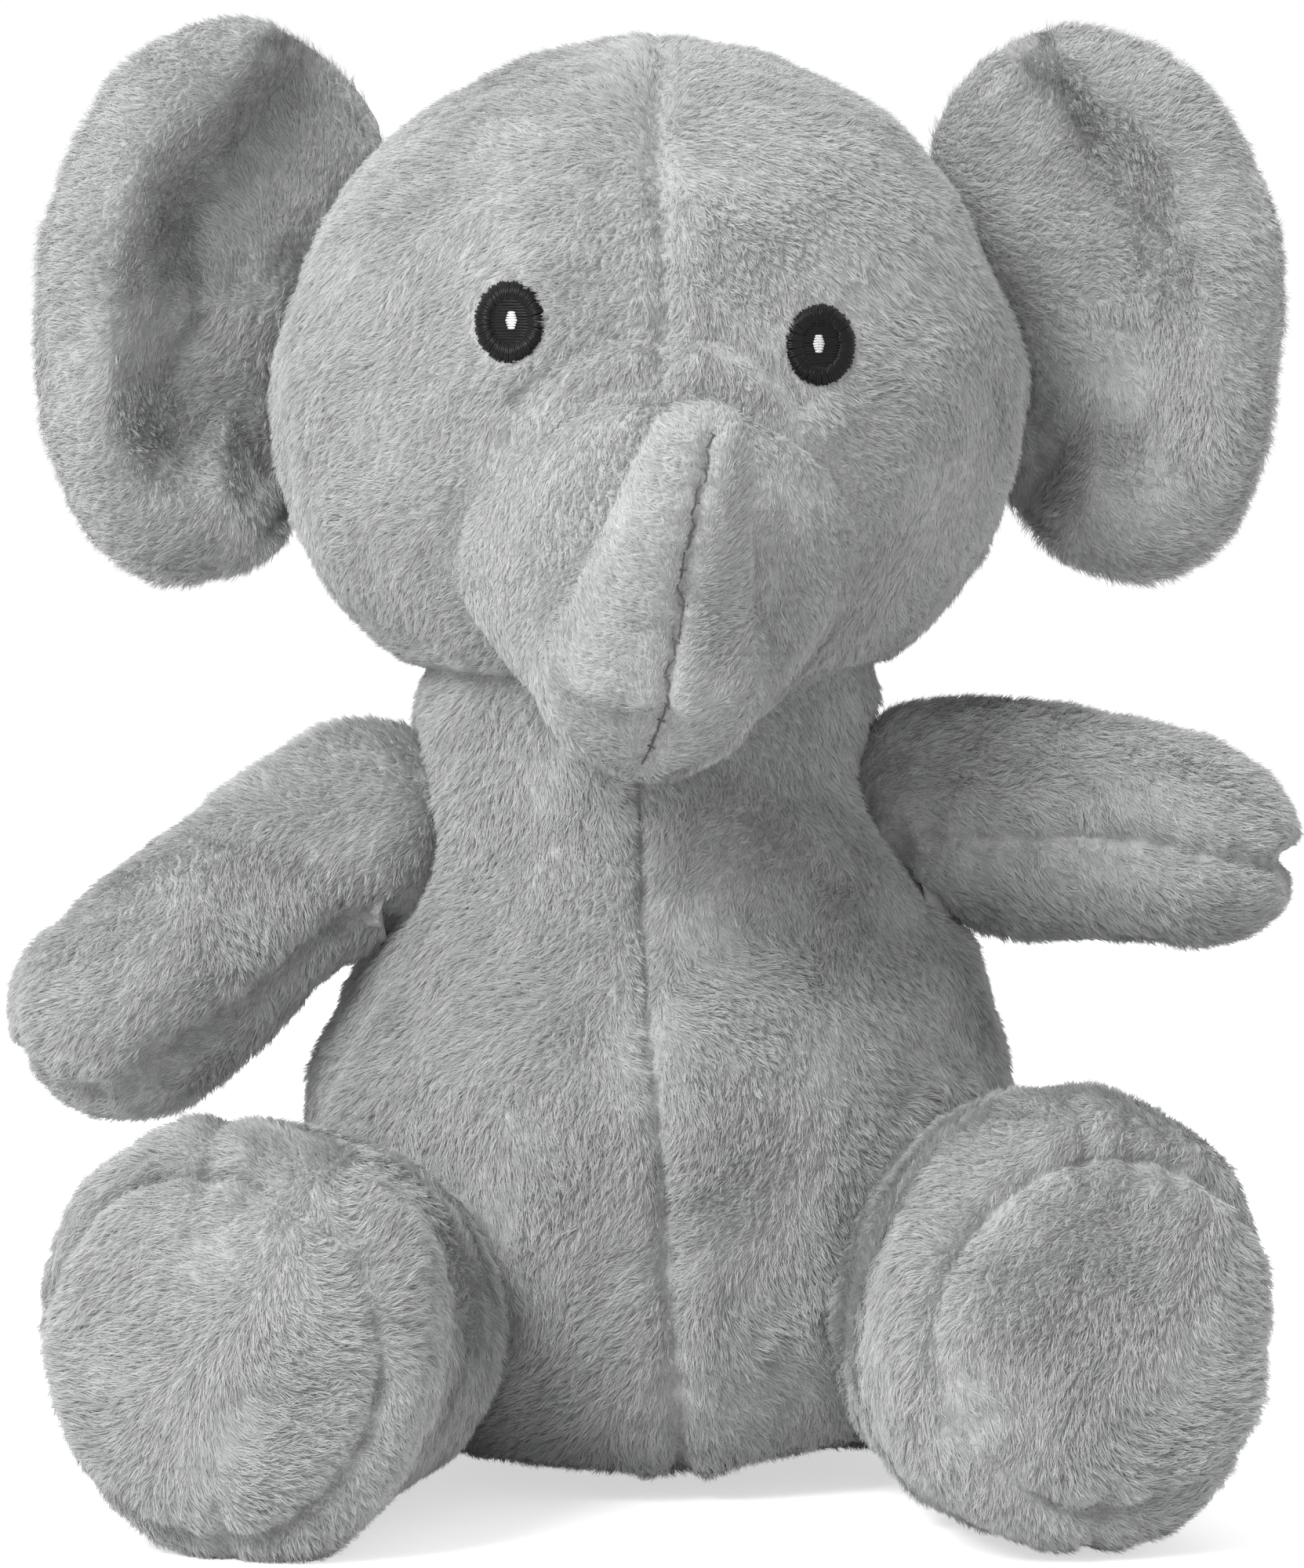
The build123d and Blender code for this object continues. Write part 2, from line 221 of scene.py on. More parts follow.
@dataclass
class Form:
    """Points in millimetres and the faces between them, before they are a mesh."""

    points: Array
    faces: list[tuple[int, ...]]

    def normals(self) -> Array:
        """Returns the outward normal at each point, weighted by face area."""
        out = np.zeros_like(self.points)
        for size in (3, 4):
            some = np.array([f for f in self.faces if len(f) == size])
            if not len(some):
                continue
            corner = self.points[some]
            across = corner[:, 2] - corner[:, 0]
            other = corner[:, 3] - corner[:, 1] if size == 4 else corner[:, 1] - corner[:, 0]
            normal = np.cross(across, other) if size == 4 else np.cross(other, across)
            for i in range(size):
                np.add.at(out, some[:, i], normal)
        return unit(out)

    def relax(self, rounds: int, amount: float = 0.5) -> None:
        """Evens the points out towards the middle of their neighbours.

        Args:
            rounds: how many times.
            amount: how far each time, from 0 to 1.
        """
        pairs = np.array([(f[i], f[i - 1]) for f in self.faces for i in range(len(f))])
        pairs = np.vstack([pairs, pairs[:, ::-1]])
        count = np.bincount(pairs[:, 0], minlength=len(self.points))[:, None]
        for _ in range(rounds):
            total = np.zeros_like(self.points)
            np.add.at(total, pairs[:, 0], self.points[pairs[:, 1]])
            self.points += amount * (total / count - self.points)

    def tree(self) -> BVHTree:
        """Returns a search tree over the faces."""
        return BVHTree.FromPolygons(self.points.tolist(), self.faces)

    def object(self, name: str) -> bpy.types.Object:
        """Makes a smooth-shaded mesh object of the form, in metres."""
        mesh = bpy.data.meshes.new(name)
        mesh.from_pydata((self.points * MM).tolist(), [], self.faces)
        mesh.validate()
        mesh.shade_smooth()
        made = bpy.data.objects.new(name, mesh)
        bpy.context.scene.collection.objects.link(made)
        return made


def joined(forms: Sequence[Form]) -> Form:
    """Returns several forms as one, without welding them."""
    points, faces, first = [], [], 0
    for form in forms:
        points.append(form.points)
        faces += [tuple(i + first for i in f) for f in form.faces]
        first += len(form.points)
    return Form(np.vstack(points), faces)


def loft(rings: Array) -> Form:
    """Skins a closed tube over rings whose first and last are points.

    Args:
        rings: places as (ring, point on the ring, 3), counter-clockwise seen from the last ring.

    Returns:
        The closed form, with its two end rings drawn together to one point each.
    """
    count, around = rings.shape[:2]
    points = np.vstack([rings[0].mean(0)[None], rings[1:-1].reshape(-1, 3), rings[-1].mean(0)[None]])
    faces: list[tuple[int, ...]] = []
    last = len(points) - 1
    for i in range(around):
        j = (i + 1) % around
        faces.append((0, 1 + j, 1 + i))
        for k in range(count - 3):
            a, b = 1 + k * around, 1 + (k + 1) * around
            faces.append((a + i, a + j, b + j, b + i))
        end = 1 + (count - 3) * around
        faces.append((end + i, end + j, last))
    return Form(points, faces)


def ring_stations(
    centres: Array, radii: Array, around: int, side: Sequence[float], roundness: float = 2.0
) -> Array:
    """Places rings square to a centre line.

    Args:
        centres: the centre line's points.
        radii: the half width along side, and across it, at each point.
        around: points on each ring.
        side: the direction that each ring's first point takes, as nearly as the line allows.
        roundness: 2 for an ellipse, more for a squarer ring.

    Returns:
        Places as (ring, point, 3).
    """
    along = unit(np.gradient(centres, axis=0))
    first = unit(np.array(side, float) - along * (along @ np.array(side, float))[:, None])
    second = np.cross(along, first)
    angle = np.linspace(0, 2 * math.pi, around, endpoint=False)
    c, s = np.cos(angle), np.sin(angle)
    size = (np.abs(c) ** roundness + np.abs(s) ** roundness) ** (-1 / roundness)
    u, v = (c * size)[None, :, None], (s * size)[None, :, None]
    return (
        centres[:, None]
        + first[:, None] * u * radii[:, 0][:, None, None]
        + second[:, None] * v * radii[:, 1][:, None, None]
    )


def ball(subdivisions: int) -> Form:
    """Returns a ball of radius one made of even triangles."""
    made = bmesh.new()
    bmesh.ops.create_icosphere(made, subdivisions=subdivisions, radius=1)
    made.verts.ensure_lookup_table()
    points = np.array([v.co for v in made.verts], float)
    faces = [tuple(v.index for v in f.verts) for f in made.faces]
    made.free()
    return Form(points, faces)


def remeshed(forms: Sequence[Form], voxel: float) -> Form:
    """Unites closed forms into one outer skin.

    Args:
        forms: closed forms that run into each other.
        voxel: the size of the new faces, in millimetres.

    Returns:
        One closed form of even quads.
    """
    rough = joined(forms).object("uniting")
    step = rough.modifiers.new("unite", "REMESH")
    step.mode = "VOXEL"
    step.voxel_size = voxel * MM
    shaped = rough.evaluated_get(bpy.context.evaluated_depsgraph_get())
    mesh = bpy.data.meshes.new_from_object(shaped)
    points = np.empty(len(mesh.vertices) * 3)
    mesh.vertices.foreach_get("co", points)
    faces = [tuple(p.vertices) for p in mesh.polygons]
    bpy.data.meshes.remove(mesh)
    bpy.data.objects.remove(rough)
    return Form(points.reshape(-1, 3) / MM, faces)


def cast(tree: BVHTree, x: float, z: float, back: bool = False) -> Array | None:
    """Finds the place on a skin seen straight from the front, or from the back.

    Args:
        tree: the skin's search tree.
        x: across.
        z: up.
        back: whether to look from behind.

    Returns:
        The place, or None if the line misses.
    """
    start = Vector((x, 400 if back else -400, z))
    hit = tree.ray_cast(start, Vector((0, -1 if back else 1, 0)))
    return None if hit[0] is None else np.array(hit[0])


def cast_line(
    tree: BVHTree, line: Sequence[tuple[float, float]], count: int = 60, back: bool = False
) -> Array:
    """Lays a line of (x, z) points on a skin, seen from the front or the back.

    Args:
        tree: the skin's search tree.
        line: the points of the line.
        count: how many places to lay.
        back: whether to look from behind.

    Returns:
        The places that met the skin.
    """
    found = [cast(tree, x, z, back) for x, z in through(line, count)]
    return np.array([p for p in found if p is not None])


# ---------------------------------------------------------------- shader building


class Shader:
    """A short hand for one node tree."""

    def __init__(self, tree: bpy.types.NodeTree) -> None:
        """Keeps the tree that the nodes go in."""
        self.tree = tree

    def give(self, socket: bpy.types.NodeSocket, value: object) -> None:
        """Sets an input, or links it when the value is itself a socket."""
        if isinstance(value, bpy.types.NodeSocket):
            self.tree.links.new(value, socket)
        else:
            socket.default_value = value

    def node(
        self, kind: str, values: dict[str | int, object] | None = None, **settings: object
    ) -> bpy.types.Node:
        """Adds a node.

        Args:
            kind: the node's type name.
            values: inputs by name or place, each a plain value or a socket to link from.
            settings: the node's own properties.

        Returns:
            The node.
        """
        made = self.tree.nodes.new(kind)
        for key, value in settings.items():
            setattr(made, key, value)
        for key, value in (values or {}).items():
            self.give(made.inputs[key], value)
        return made

    def maths(self, operation: str, *values: object) -> bpy.types.NodeSocket:
        """Adds a Math node on the given values and returns its result."""
        return self.node("ShaderNodeMath", dict(enumerate(values)), operation=operation).outputs[0]

    def vector(self, operation: str, *values: object, scale: object = None) -> bpy.types.NodeSocket:
        """Adds a Vector Math node on the given values and returns its result."""
        made = self.node("ShaderNodeVectorMath", dict(enumerate(values)), operation=operation)
        if scale is not None:
            self.give(made.inputs["Scale"], scale)
        return made.outputs["Value" if operation == "DOT_PRODUCT" else "Vector"]

    def mix(self, factor: object, first: object, second: object) -> bpy.types.NodeSocket:
        """Mixes two colours and returns the result."""
        return self.node("ShaderNodeMix", {0: factor, 6: first, 7: second}, data_type="RGBA").outputs[2]

    def roughen(self, shader: bpy.types.Node, height: object, strength: float, distance: float) -> None:
        """Gives a surface shader small relief.

        Args:
            shader: the surface shader.
            height: the relief's height, from 0 to 1.
            strength: how much of the relief shows.
            distance: the relief's depth, in metres.
        """
        bump = self.node("ShaderNodeBump", {"Height": height, "Strength": strength, "Distance": distance})
        self.give(shader.inputs["Normal"], bump.outputs["Normal"])


def new_finish(name: str) -> tuple[bpy.types.Material, Shader, bpy.types.Node]:
    """Starts a material and returns it with its tree's short hand and its surface shader."""
    made = bpy.data.materials.new(name)
    made.use_nodes = True
    return made, Shader(made.node_tree), made.node_tree.nodes["Principled BSDF"]


def grey(value: float, warm: float = 0.0) -> tuple[float, float, float, float]:
    """Returns a linear grey, a little warmer or cooler, as a colour."""
    return (value * (1 + warm), value, value * (1 - warm), 1.0)


def pile_tone_group() -> bpy.types.NodeTree:
    """Builds the group that colours plush cloth: soft patches, painted shade in the hollows between tufts,
    and fine nap.

    Returns:
        A shader node group with a colour and a height.
    """
    group = bpy.data.node_groups.new("pile tone", "ShaderNodeTree")
    face = group.interface
    tone = face.new_socket("Tone", in_out="INPUT", socket_type="NodeSocketColor")
    tone.default_value = grey(0.5)
    for name, value in (("Patches", 0.12), ("Tufts", 0.15)):
        face.new_socket(name, in_out="INPUT", socket_type="NodeSocketFloat").default_value = value
    face.new_socket("Color", in_out="OUTPUT", socket_type="NodeSocketColor")
    face.new_socket("Height", in_out="OUTPUT", socket_type="NodeSocketFloat")
    s = Shader(group)
    inputs, outputs = s.node("NodeGroupInput"), s.node("NodeGroupOutput")
    where = s.node("ShaderNodeTexCoord").outputs["Object"]
    patches = s.node("ShaderNodeTexNoise", {"Vector": where, "Scale": 55.0, "Detail": 3.0}).outputs["Fac"]
    tufts = s.node("ShaderNodeTexVoronoi", {"Vector": where, "Scale": 620.0, "Randomness": 1.0})
    fine = s.node("ShaderNodeTexNoise", {"Vector": where, "Scale": 1900.0, "Detail": 2.0}).outputs["Fac"]
    lift = s.maths("SUBTRACT", patches, 0.5)
    lift = s.maths("MULTIPLY", lift, s.maths("MULTIPLY", inputs.outputs["Patches"], 2.0))
    # painted shade: darker towards each tuft's edge, where the relief dips between tufts
    tuft_shade = s.maths("MULTIPLY", s.maths("SUBTRACT", 0.45, tufts.outputs["Distance"]), inputs.outputs["Tufts"])
    grain = s.maths("MULTIPLY", s.maths("SUBTRACT", fine, 0.5), 0.18)
    factor = s.maths("ADD", s.maths("ADD", 1.0, lift), s.maths("ADD", tuft_shade, grain))
    shade = s.vector("SCALE", inputs.outputs["Tone"], scale=factor)
    s.give(outputs.inputs["Color"], shade)
    mound = s.maths("SUBTRACT", 1.0, tufts.outputs["Distance"])
    s.give(outputs.inputs["Height"], s.maths("ADD", mound, s.maths("MULTIPLY", fine, 0.5)))
    return group


@dataclass(frozen=True)
class PlushCloth:
    """The backing of the plush as it shows between and without the pile: the toy's grey, darkened to match
    the fibres' roots as painted shade of the pile's depth.
    """

    name: str = "grey_plush_cloth"
    # the toy's grey darkened to the fibres' root tone: painted shade of the pile's depth
    tone: float = 0.46
    roughness: float = 0.95
    tuft_depth: float = 0.0006

    def material(self, group: bpy.types.NodeTree) -> bpy.types.Material:
        """Builds the material from the shared pile tone group."""
        made, s, shader = new_finish(self.name)
        look = s.node("ShaderNodeGroup", node_tree=group)
        look.inputs["Tone"].default_value = grey(self.tone, -0.004)
        s.give(shader.inputs["Base Color"], look.outputs["Color"])
        s.roughen(shader, look.outputs["Height"], 0.8, self.tuft_depth)
        shader.inputs["Roughness"].default_value = self.roughness
        shader.inputs["Specular IOR Level"].default_value = 0.15
        shader.inputs["Sheen Weight"].default_value = 0.35
        shader.inputs["Sheen Roughness"].default_value = 0.5
        made.diffuse_color = grey(self.tone)
        return made


@dataclass(frozen=True)
class PileFibre:
    """The fibres that stand on the plush: darker at the root as painted shade of the pile's depth, silky at
    the tip.
    """

    name: str = "grey_plush_pile"
    tone: float = 0.66
    # the tone at the root, darker than the tip: painted shade deep in the pile
    root: float = 0.46
    roughness: float = 0.62

    def material(self, group: bpy.types.NodeTree) -> bpy.types.Material:
        """Builds the fibre material from the shared pile tone group."""
        made, s, shader = new_finish(self.name)
        look = s.node("ShaderNodeGroup", node_tree=group)
        look.inputs["Tone"].default_value = grey(self.tone, -0.006)
        look.inputs["Tufts"].default_value = 0.05
        hair = s.node("ShaderNodeHairInfo")
        tint = s.node("ShaderNodeAttribute", attribute_name="tint").outputs["Fac"]
        # darker towards the root: painted shade of the pile's depth
        rise = s.maths("POWER", hair.outputs["Intercept"], 0.7)
        painted_root_shade = s.vector("SCALE", look.outputs["Color"], scale=self.root / self.tone)
        colour = s.mix(rise, painted_root_shade, look.outputs["Color"])
        colour = s.vector("SCALE", colour, scale=tint)
        s.give(shader.inputs["Base Color"], colour)
        shader.inputs["Roughness"].default_value = self.roughness
        shader.inputs["Specular IOR Level"].default_value = 0.3
        return made


@dataclass(frozen=True)
class Thread:
    """Embroidery or sewing thread: two-ply twist along the stitch, a satin gloss."""

    name: str
    tone: float
    roughness: float
    sheen: float = 0.0
    twist: float = 2600.0
    ply_depth: float = 0.00006

    def material(self) -> bpy.types.Material:
        """Builds the thread material."""
        made, s, shader = new_finish(self.name)
        where = s.node("ShaderNodeTexCoord").outputs["Object"]
        plies = s.node("ShaderNodeTexNoise", {"Vector": where, "Scale": self.twist, "Detail": 1.0})
        ply = plies.outputs["Fac"]
        colour = s.mix(ply, grey(self.tone * 0.6), grey(self.tone * 1.5))
        s.give(shader.inputs["Base Color"], colour)
        s.roughen(shader, ply, 0.4, self.ply_depth)
        shader.inputs["Roughness"].default_value = self.roughness
        shader.inputs["Specular IOR Level"].default_value = 0.2
        shader.inputs["Sheen Weight"].default_value = self.sheen
        return made


@dataclass(frozen=True)
class WovenTape:
    """The blank satin tape of the sewn-in label."""

    name: str = "label_tape"
    tone: float = 0.82
    yarn_depth: float = 0.00005

    def material(self) -> bpy.types.Material:
        """Builds the tape's fine weave."""
        made, s, shader = new_finish(self.name)
        where = s.node("ShaderNodeTexCoord").outputs["Object"]
        yarns = {"Vector": where, "Scale": 900.0, "Distortion": 0.4}
        weave = s.node("ShaderNodeTexWave", yarns, bands_direction="Z")
        colour = s.mix(weave.outputs["Fac"], grey(self.tone * 0.9), grey(self.tone))
        s.give(shader.inputs["Base Color"], colour)
        s.roughen(shader, weave.outputs["Fac"], 0.5, self.yarn_depth)
        shader.inputs["Roughness"].default_value = 0.45
        return made


@dataclass(frozen=True)
class StudioFloor:
    """The pale floor under the toy, which glows to the camera alone so that it stays pale."""

    name: str = "pale_floor"
    tone: float = 0.9
    glow: float = 0.62

    def material(self) -> bpy.types.Material:
        """Builds the floor's faintly mottled matt paint."""
        made, s, shader = new_finish(self.name)
        where = s.node("ShaderNodeTexCoord").outputs["Object"]
        cloud = s.node("ShaderNodeTexNoise", {"Vector": where, "Scale": 3.0}).outputs["Fac"]
        s.give(shader.inputs["Base Color"], s.mix(cloud, grey(self.tone * 0.985), grey(self.tone)))
        shader.inputs["Roughness"].default_value = 0.9
        shader.inputs["Emission Color"].default_value = (1, 1, 1, 1)
        seen = s.node("ShaderNodeLightPath").outputs["Is Camera Ray"]
        s.give(shader.inputs["Emission Strength"], s.maths("MULTIPLY", seen, self.glow))
        return made


# ---------------------------------------------------------------- the pile


@dataclass
class PileGrower:
    """Grows pile on a skin along its nap, by a node group that all skins share."""

    density: float = 9.0  # fibres on each square millimetre
    radius: float = 0.05
    lean: float = 60.0  # degrees from the normal
    clump_size: float = 1.35
    clump: float = 0.55  # how far the tips of a tuft draw together
    steps: int = 4  # points on each fibre
    bald: float = 0.06  # a skin with less pile than this share of it grows none
    quick_share: float = 0.35
    quick_radius: float = 1.6

    def group(self, fibre: bpy.types.Material) -> bpy.types.NodeTree:
        """Builds the node group.

        Args:
            fibre: the fibres' material.

        Returns:
            A geometry node group that grows the fibres of the skin that it is given.
        """
        group = bpy.data.node_groups.new("pile", "GeometryNodeTree")
        group.interface.new_socket("Geometry", in_out="INPUT", socket_type="NodeSocketGeometry")
        group.interface.new_socket("Skin", in_out="INPUT", socket_type="NodeSocketObject")
        group.interface.new_socket("Geometry", in_out="OUTPUT", socket_type="NodeSocketGeometry")
        s = Shader(group)
        inputs, outputs = s.node("NodeGroupInput"), s.node("NodeGroupOutput")

        def named(name: str, kind: str) -> bpy.types.NodeSocket:
            """Reads a named attribute."""
            made = s.node("GeometryNodeInputNamedAttribute", {"Name": name}, data_type=kind)
            return made.outputs["Attribute"]

        def keep(
            geometry: bpy.types.NodeSocket, name: str, kind: str, value: bpy.types.NodeSocket
        ) -> bpy.types.NodeSocket:
            """Writes a named attribute on points."""
            inputs = {"Geometry": geometry, "Name": name}
            made = s.node("GeometryNodeStoreNamedAttribute", inputs, data_type=kind)
            s.give(made.inputs["Value"], value)
            return made.outputs["Geometry"]

        amount = 1.0 * self.density / MM**2
        wanted = s.maths("MULTIPLY", s.maths("GREATER_THAN", named("pile", "FLOAT"), self.bald), amount)
        taken = {"Object": inputs.outputs["Skin"]}
        skin = s.node("GeometryNodeObjectInfo", taken, transform_space="RELATIVE")
        scatter = s.node(
            "GeometryNodeDistributePointsOnFaces",
            {"Mesh": skin.outputs["Geometry"], "Density": wanted, "Seed": 5},
            distribute_method="RANDOM",
        )
        roots = keep(scatter.outputs["Points"], "root", "INT", s.node("GeometryNodeInputIndex").outputs[0])
        roots = keep(roots, "rise", "FLOAT_VECTOR", scatter.outputs["Normal"])
        each = {"Geometry": roots, "Amount": self.steps}
        copies = s.node("GeometryNodeDuplicateElements", each, domain="POINT")
        step = s.maths("DIVIDE", copies.outputs["Duplicate Index"], self.steps - 1.0)
        fibres = keep(copies.outputs["Geometry"], "step", "FLOAT", step)

        root, step = named("root", "INT"), named("step", "FLOAT")
        normal = named("rise", "FLOAT_VECTOR")
        place = s.node("GeometryNodeInputPosition").outputs[0]

        def drawn(seed: int, low: float, high: float) -> bpy.types.NodeSocket:
            """Draws a number for each fibre."""
            made = s.node("FunctionNodeRandomValue", {"ID": root, "Seed": seed}, data_type="FLOAT")
            made.inputs[2].default_value, made.inputs[3].default_value = low, high
            return made.outputs[1]

        tuft = s.node("ShaderNodeTexVoronoi", {"Vector": place, "Scale": 1 / (self.clump_size * MM)})
        tuft_draw = s.node("ShaderNodeSeparateXYZ", {"Vector": tuft.outputs["Color"]})
        nap = named("nap", "FLOAT_VECTOR")

        def level(way: bpy.types.NodeSocket) -> bpy.types.NodeSocket:
            """Takes the part along the skin's normal out of a direction."""
            rise = s.vector("DOT_PRODUCT", way, normal)
            return s.vector("SUBTRACT", way, s.vector("SCALE", normal, scale=rise))

        flat = s.vector("NORMALIZE", level(nap))
        across = s.vector("CROSS_PRODUCT", normal, flat)
        tuft_stray = s.maths("MULTIPLY_ADD", tuft_draw.outputs[0], 0.7, -0.35)
        stray = s.maths("ADD", drawn(11, -0.35, 0.35), tuft_stray)
        flat = s.vector("NORMALIZE", s.vector("ADD", flat, s.vector("SCALE", across, scale=stray)))

        lay = s.maths("MULTIPLY", named("lay", "FLOAT"), math.radians(self.lean))
        lay = s.maths("ADD", lay, s.maths("MULTIPLY_ADD", tuft_draw.outputs[1], 0.36, -0.18))
        lay = s.maths("ADD", lay, drawn(12, -0.2, 0.2))
        share = s.maths("MULTIPLY", named("pile", "FLOAT"), drawn(13, 0.7, 1.25))
        length = s.maths("MULTIPLY", share, PILE * MM)
        bend = s.maths("MULTIPLY", step, s.maths("MULTIPLY_ADD", step, 0.6, 0.4))
        up = s.vector("SCALE", normal, scale=s.maths("MULTIPLY", s.maths("COSINE", lay), step))
        out = s.vector("SCALE", flat, scale=s.maths("MULTIPLY", s.maths("SINE", lay), bend))
        reach = s.vector("SCALE", s.vector("ADD", up, out), scale=length)
        gather = level(s.vector("SUBTRACT", tuft.outputs["Position"], place))
        pull = s.maths("MULTIPLY", s.maths("MULTIPLY", step, step), self.clump)
        offset = s.vector("ADD", reach, s.vector("SCALE", gather, scale=pull))
        tone = s.maths("ADD", drawn(14, 0.86, 1.1), s.maths("MULTIPLY_ADD", tuft_draw.outputs[2], 0.2, -0.1))
        fibres = keep(fibres, "tint", "FLOAT", tone)
        bent = s.node("GeometryNodeSetPosition", {"Geometry": fibres, "Offset": offset})
        curves = s.node("GeometryNodePointsToCurves", {"Points": bent.outputs[0], "Curve Group ID": root})
        s.give(curves.inputs["Weight"], step)
        taper = s.maths("SUBTRACT", 1.0, s.maths("MULTIPLY", s.maths("POWER", step, 2.0), 0.75))
        thick = s.maths("MULTIPLY", taper, self.radius * MM * (1.0))
        sized = s.node("GeometryNodeSetCurveRadius", {"Curve": curves.outputs[0], "Radius": thick})
        dressed = s.node("GeometryNodeSetMaterial", {"Geometry": sized.outputs[0], "Material": fibre})
        s.give(outputs.inputs[0], dressed.outputs[0])
        return group

    @staticmethod
    def grow(skin: bpy.types.Object, group: bpy.types.NodeTree) -> None:
        """Grows the pile of one skin in a hair object of its own, which follows the skin wherever it goes."""
        hair = bpy.data.objects.new(f"{skin.name}_pile", bpy.data.hair_curves.new(f"{skin.name}_pile"))
        bpy.context.scene.collection.objects.link(hair)
        grown = hair.modifiers.new("pile", "NODES")
        grown.node_group = group
        socket = next(item for item in group.interface.items_tree if item.name == "Skin")
        grown[socket.identifier] = skin


@dataclass
class Wardrobe:
    """Every finish of the toy, built once."""

    cloth: bpy.types.Material
    pile: bpy.types.NodeTree
    black: bpy.types.Material
    white: bpy.types.Material
    sewing: bpy.types.Material
    tape: bpy.types.Material
    floor: bpy.types.Material

    @classmethod
    def filled(cls) -> "Wardrobe":
        """Builds the finishes."""
        tone = pile_tone_group()
        fibre = PileFibre().material(tone)
        return cls(
            cloth=PlushCloth().material(tone),
            pile=PileGrower().group(fibre),
            black=Thread("black_embroidery", 0.007, 0.36, 0.05).material(),
            white=Thread("white_embroidery", 0.75, 0.5).material(),
            sewing=Thread("grey_sewing_thread", 0.13, 0.7).material(),
            tape=WovenTape().material(),
            floor=StudioFloor().material(),
        )


# ---------------------------------------------------------------- plush skins

NapField = Callable[[Array, Array], Array]
SWIRL = SoftNoise(41, 26.0)
RUFFLE = SoftNoise(42, 7.5)
BRUSHED = SoftNoise(43, 17.0)
LUMPS = SoftNoise(44, 30.0)
DIMPLES = SoftNoise(45, 11.0)
TUFTS = SoftNoise(46, 3.2, 40)


@dataclass
class PlushSkin:
    """One sewn plush skin, from its bare form to the dressed object."""

    name: str
    form: Form
    seams: list[Seam] = field(default_factory=list)
    lump: float = 0.7
    dimple: float = 0.22
    swirl: float = 0.5  # how far the nap wanders, in radians
    trim: float = 1.0  # the pile's length as a share of the toy's
    pinch: float = 1.1  # how far the skin is drawn in where it is sewn to another
    pile: Array | None = None

    def sew(self) -> None:
        """Presses the seams in and gives the stuffing its lumps."""
        places = self.form.points.copy()
        push = self.lump * LUMPS.at(places) + self.dimple * DIMPLES.at(places)
        pile = self.trim * (1 + 0.12 * BRUSHED.at(places))
        for seam in self.seams:
            away, along = seam.nearest(places)
            push += seam.push(away, along)
            pile *= 1 - seam.trap * np.exp(-((away / 1.5) ** 2))
        self.form.points += self.form.normals() * push[:, None]
        self.pile = pile

    def clear(self, others: Sequence[BVHTree], depth: float = 3.4) -> None:
        """Leaves out the pile deep inside another skin, and draws the joint between the two in.

        Args:
            others: search trees of the other skins.
            depth: how deep inside another skin the pile stops.
        """
        assert self.pile is not None
        pulled = np.zeros(len(self.form.points))
        search, caught, trapped, drawn = 40.0, 0.62, 1.7, 2.2
        for tree in others:
            for i, place in enumerate(self.form.points):
                if self.pile[i] <= 0:
                    continue
                found, normal, _, away = tree.find_nearest(Vector(place), search)
                if found is None:
                    continue
                self.pile[i] *= 1 - caught * math.exp(-((away / trapped) ** 2))
                pulled[i] = max(pulled[i], math.exp(-((away / drawn) ** 2)))
                behind = (Vector(place) - found).dot(normal) < 0
                if behind and away > depth and self.within(tree, Vector(place)):
                    self.pile[i] = 0
        self.form.points -= self.form.normals() * (self.pinch * pulled)[:, None]

    @staticmethod
    def within(tree: BVHTree, place: Vector) -> bool:
        """Says whether a place is inside a closed skin, by counting the faces that a line crosses."""
        way = Vector((0.11, 0.07, 1.0)).normalized()
        step, most = 0.01, 12
        crossed = 0
        hit = tree.ray_cast(place, way)
        while hit[0] is not None and crossed < most:
            crossed += 1
            hit = tree.ray_cast(hit[0] + way * step, way)
        return crossed % 2 == 1

    def dress(self, wardrobe: Wardrobe, nap: NapField, tuft: float = 0.22) -> bpy.types.Object:
        """Makes the object, with its nap, its cloth and its pile.

        Args:
            wardrobe: the finishes.
            nap: gives the pile's direction from places and normals.
            tuft: how far tufts stand out in the mesh itself.

        Returns:
            The object.
        """
        assert self.pile is not None
        places, normals = self.form.points, self.form.normals()
        way = unit(nap(places, normals))
        way = unit(way - normals * (way * normals).sum(1)[:, None])
        angle = self.swirl * SWIRL.at(places) + 0.26 * RUFFLE.at(places)
        way = way * np.cos(angle)[:, None] + np.cross(normals, way) * np.sin(angle)[:, None]
        lay = 1.05 + 0.18 * BRUSHED.at(places + 90) + 0.12 * RUFFLE.at(places + 50)
        lay = np.clip(lay, 0.3, 1.35)
        streak = TUFTS.at(places - way * 1.2)
        self.form.points = places + normals * (tuft * streak * np.clip(self.pile, 0, 1))[:, None]
        made = self.form.object(self.name)
        for name, kind, key, values in (
            ("nap", "FLOAT_VECTOR", "vector", way),
            ("pile", "FLOAT", "value", self.pile),
            ("lay", "FLOAT", "value", lay),
        ):
            data = made.data.attributes.new(name, kind, "POINT").data
            data.foreach_set(key, values.astype(np.float32).ravel())
        made.data.materials.append(wardrobe.cloth)
        PileGrower.grow(made, wardrobe.pile)
        return made


class Maker(Protocol):
    """Anything that builds one plush skin and says how its pile lies."""

    def build(self) -> PlushSkin:
        """Builds the skin."""

    def nap(self, places: Array, normals: Array) -> Array:
        """Returns the pile's direction at each place."""


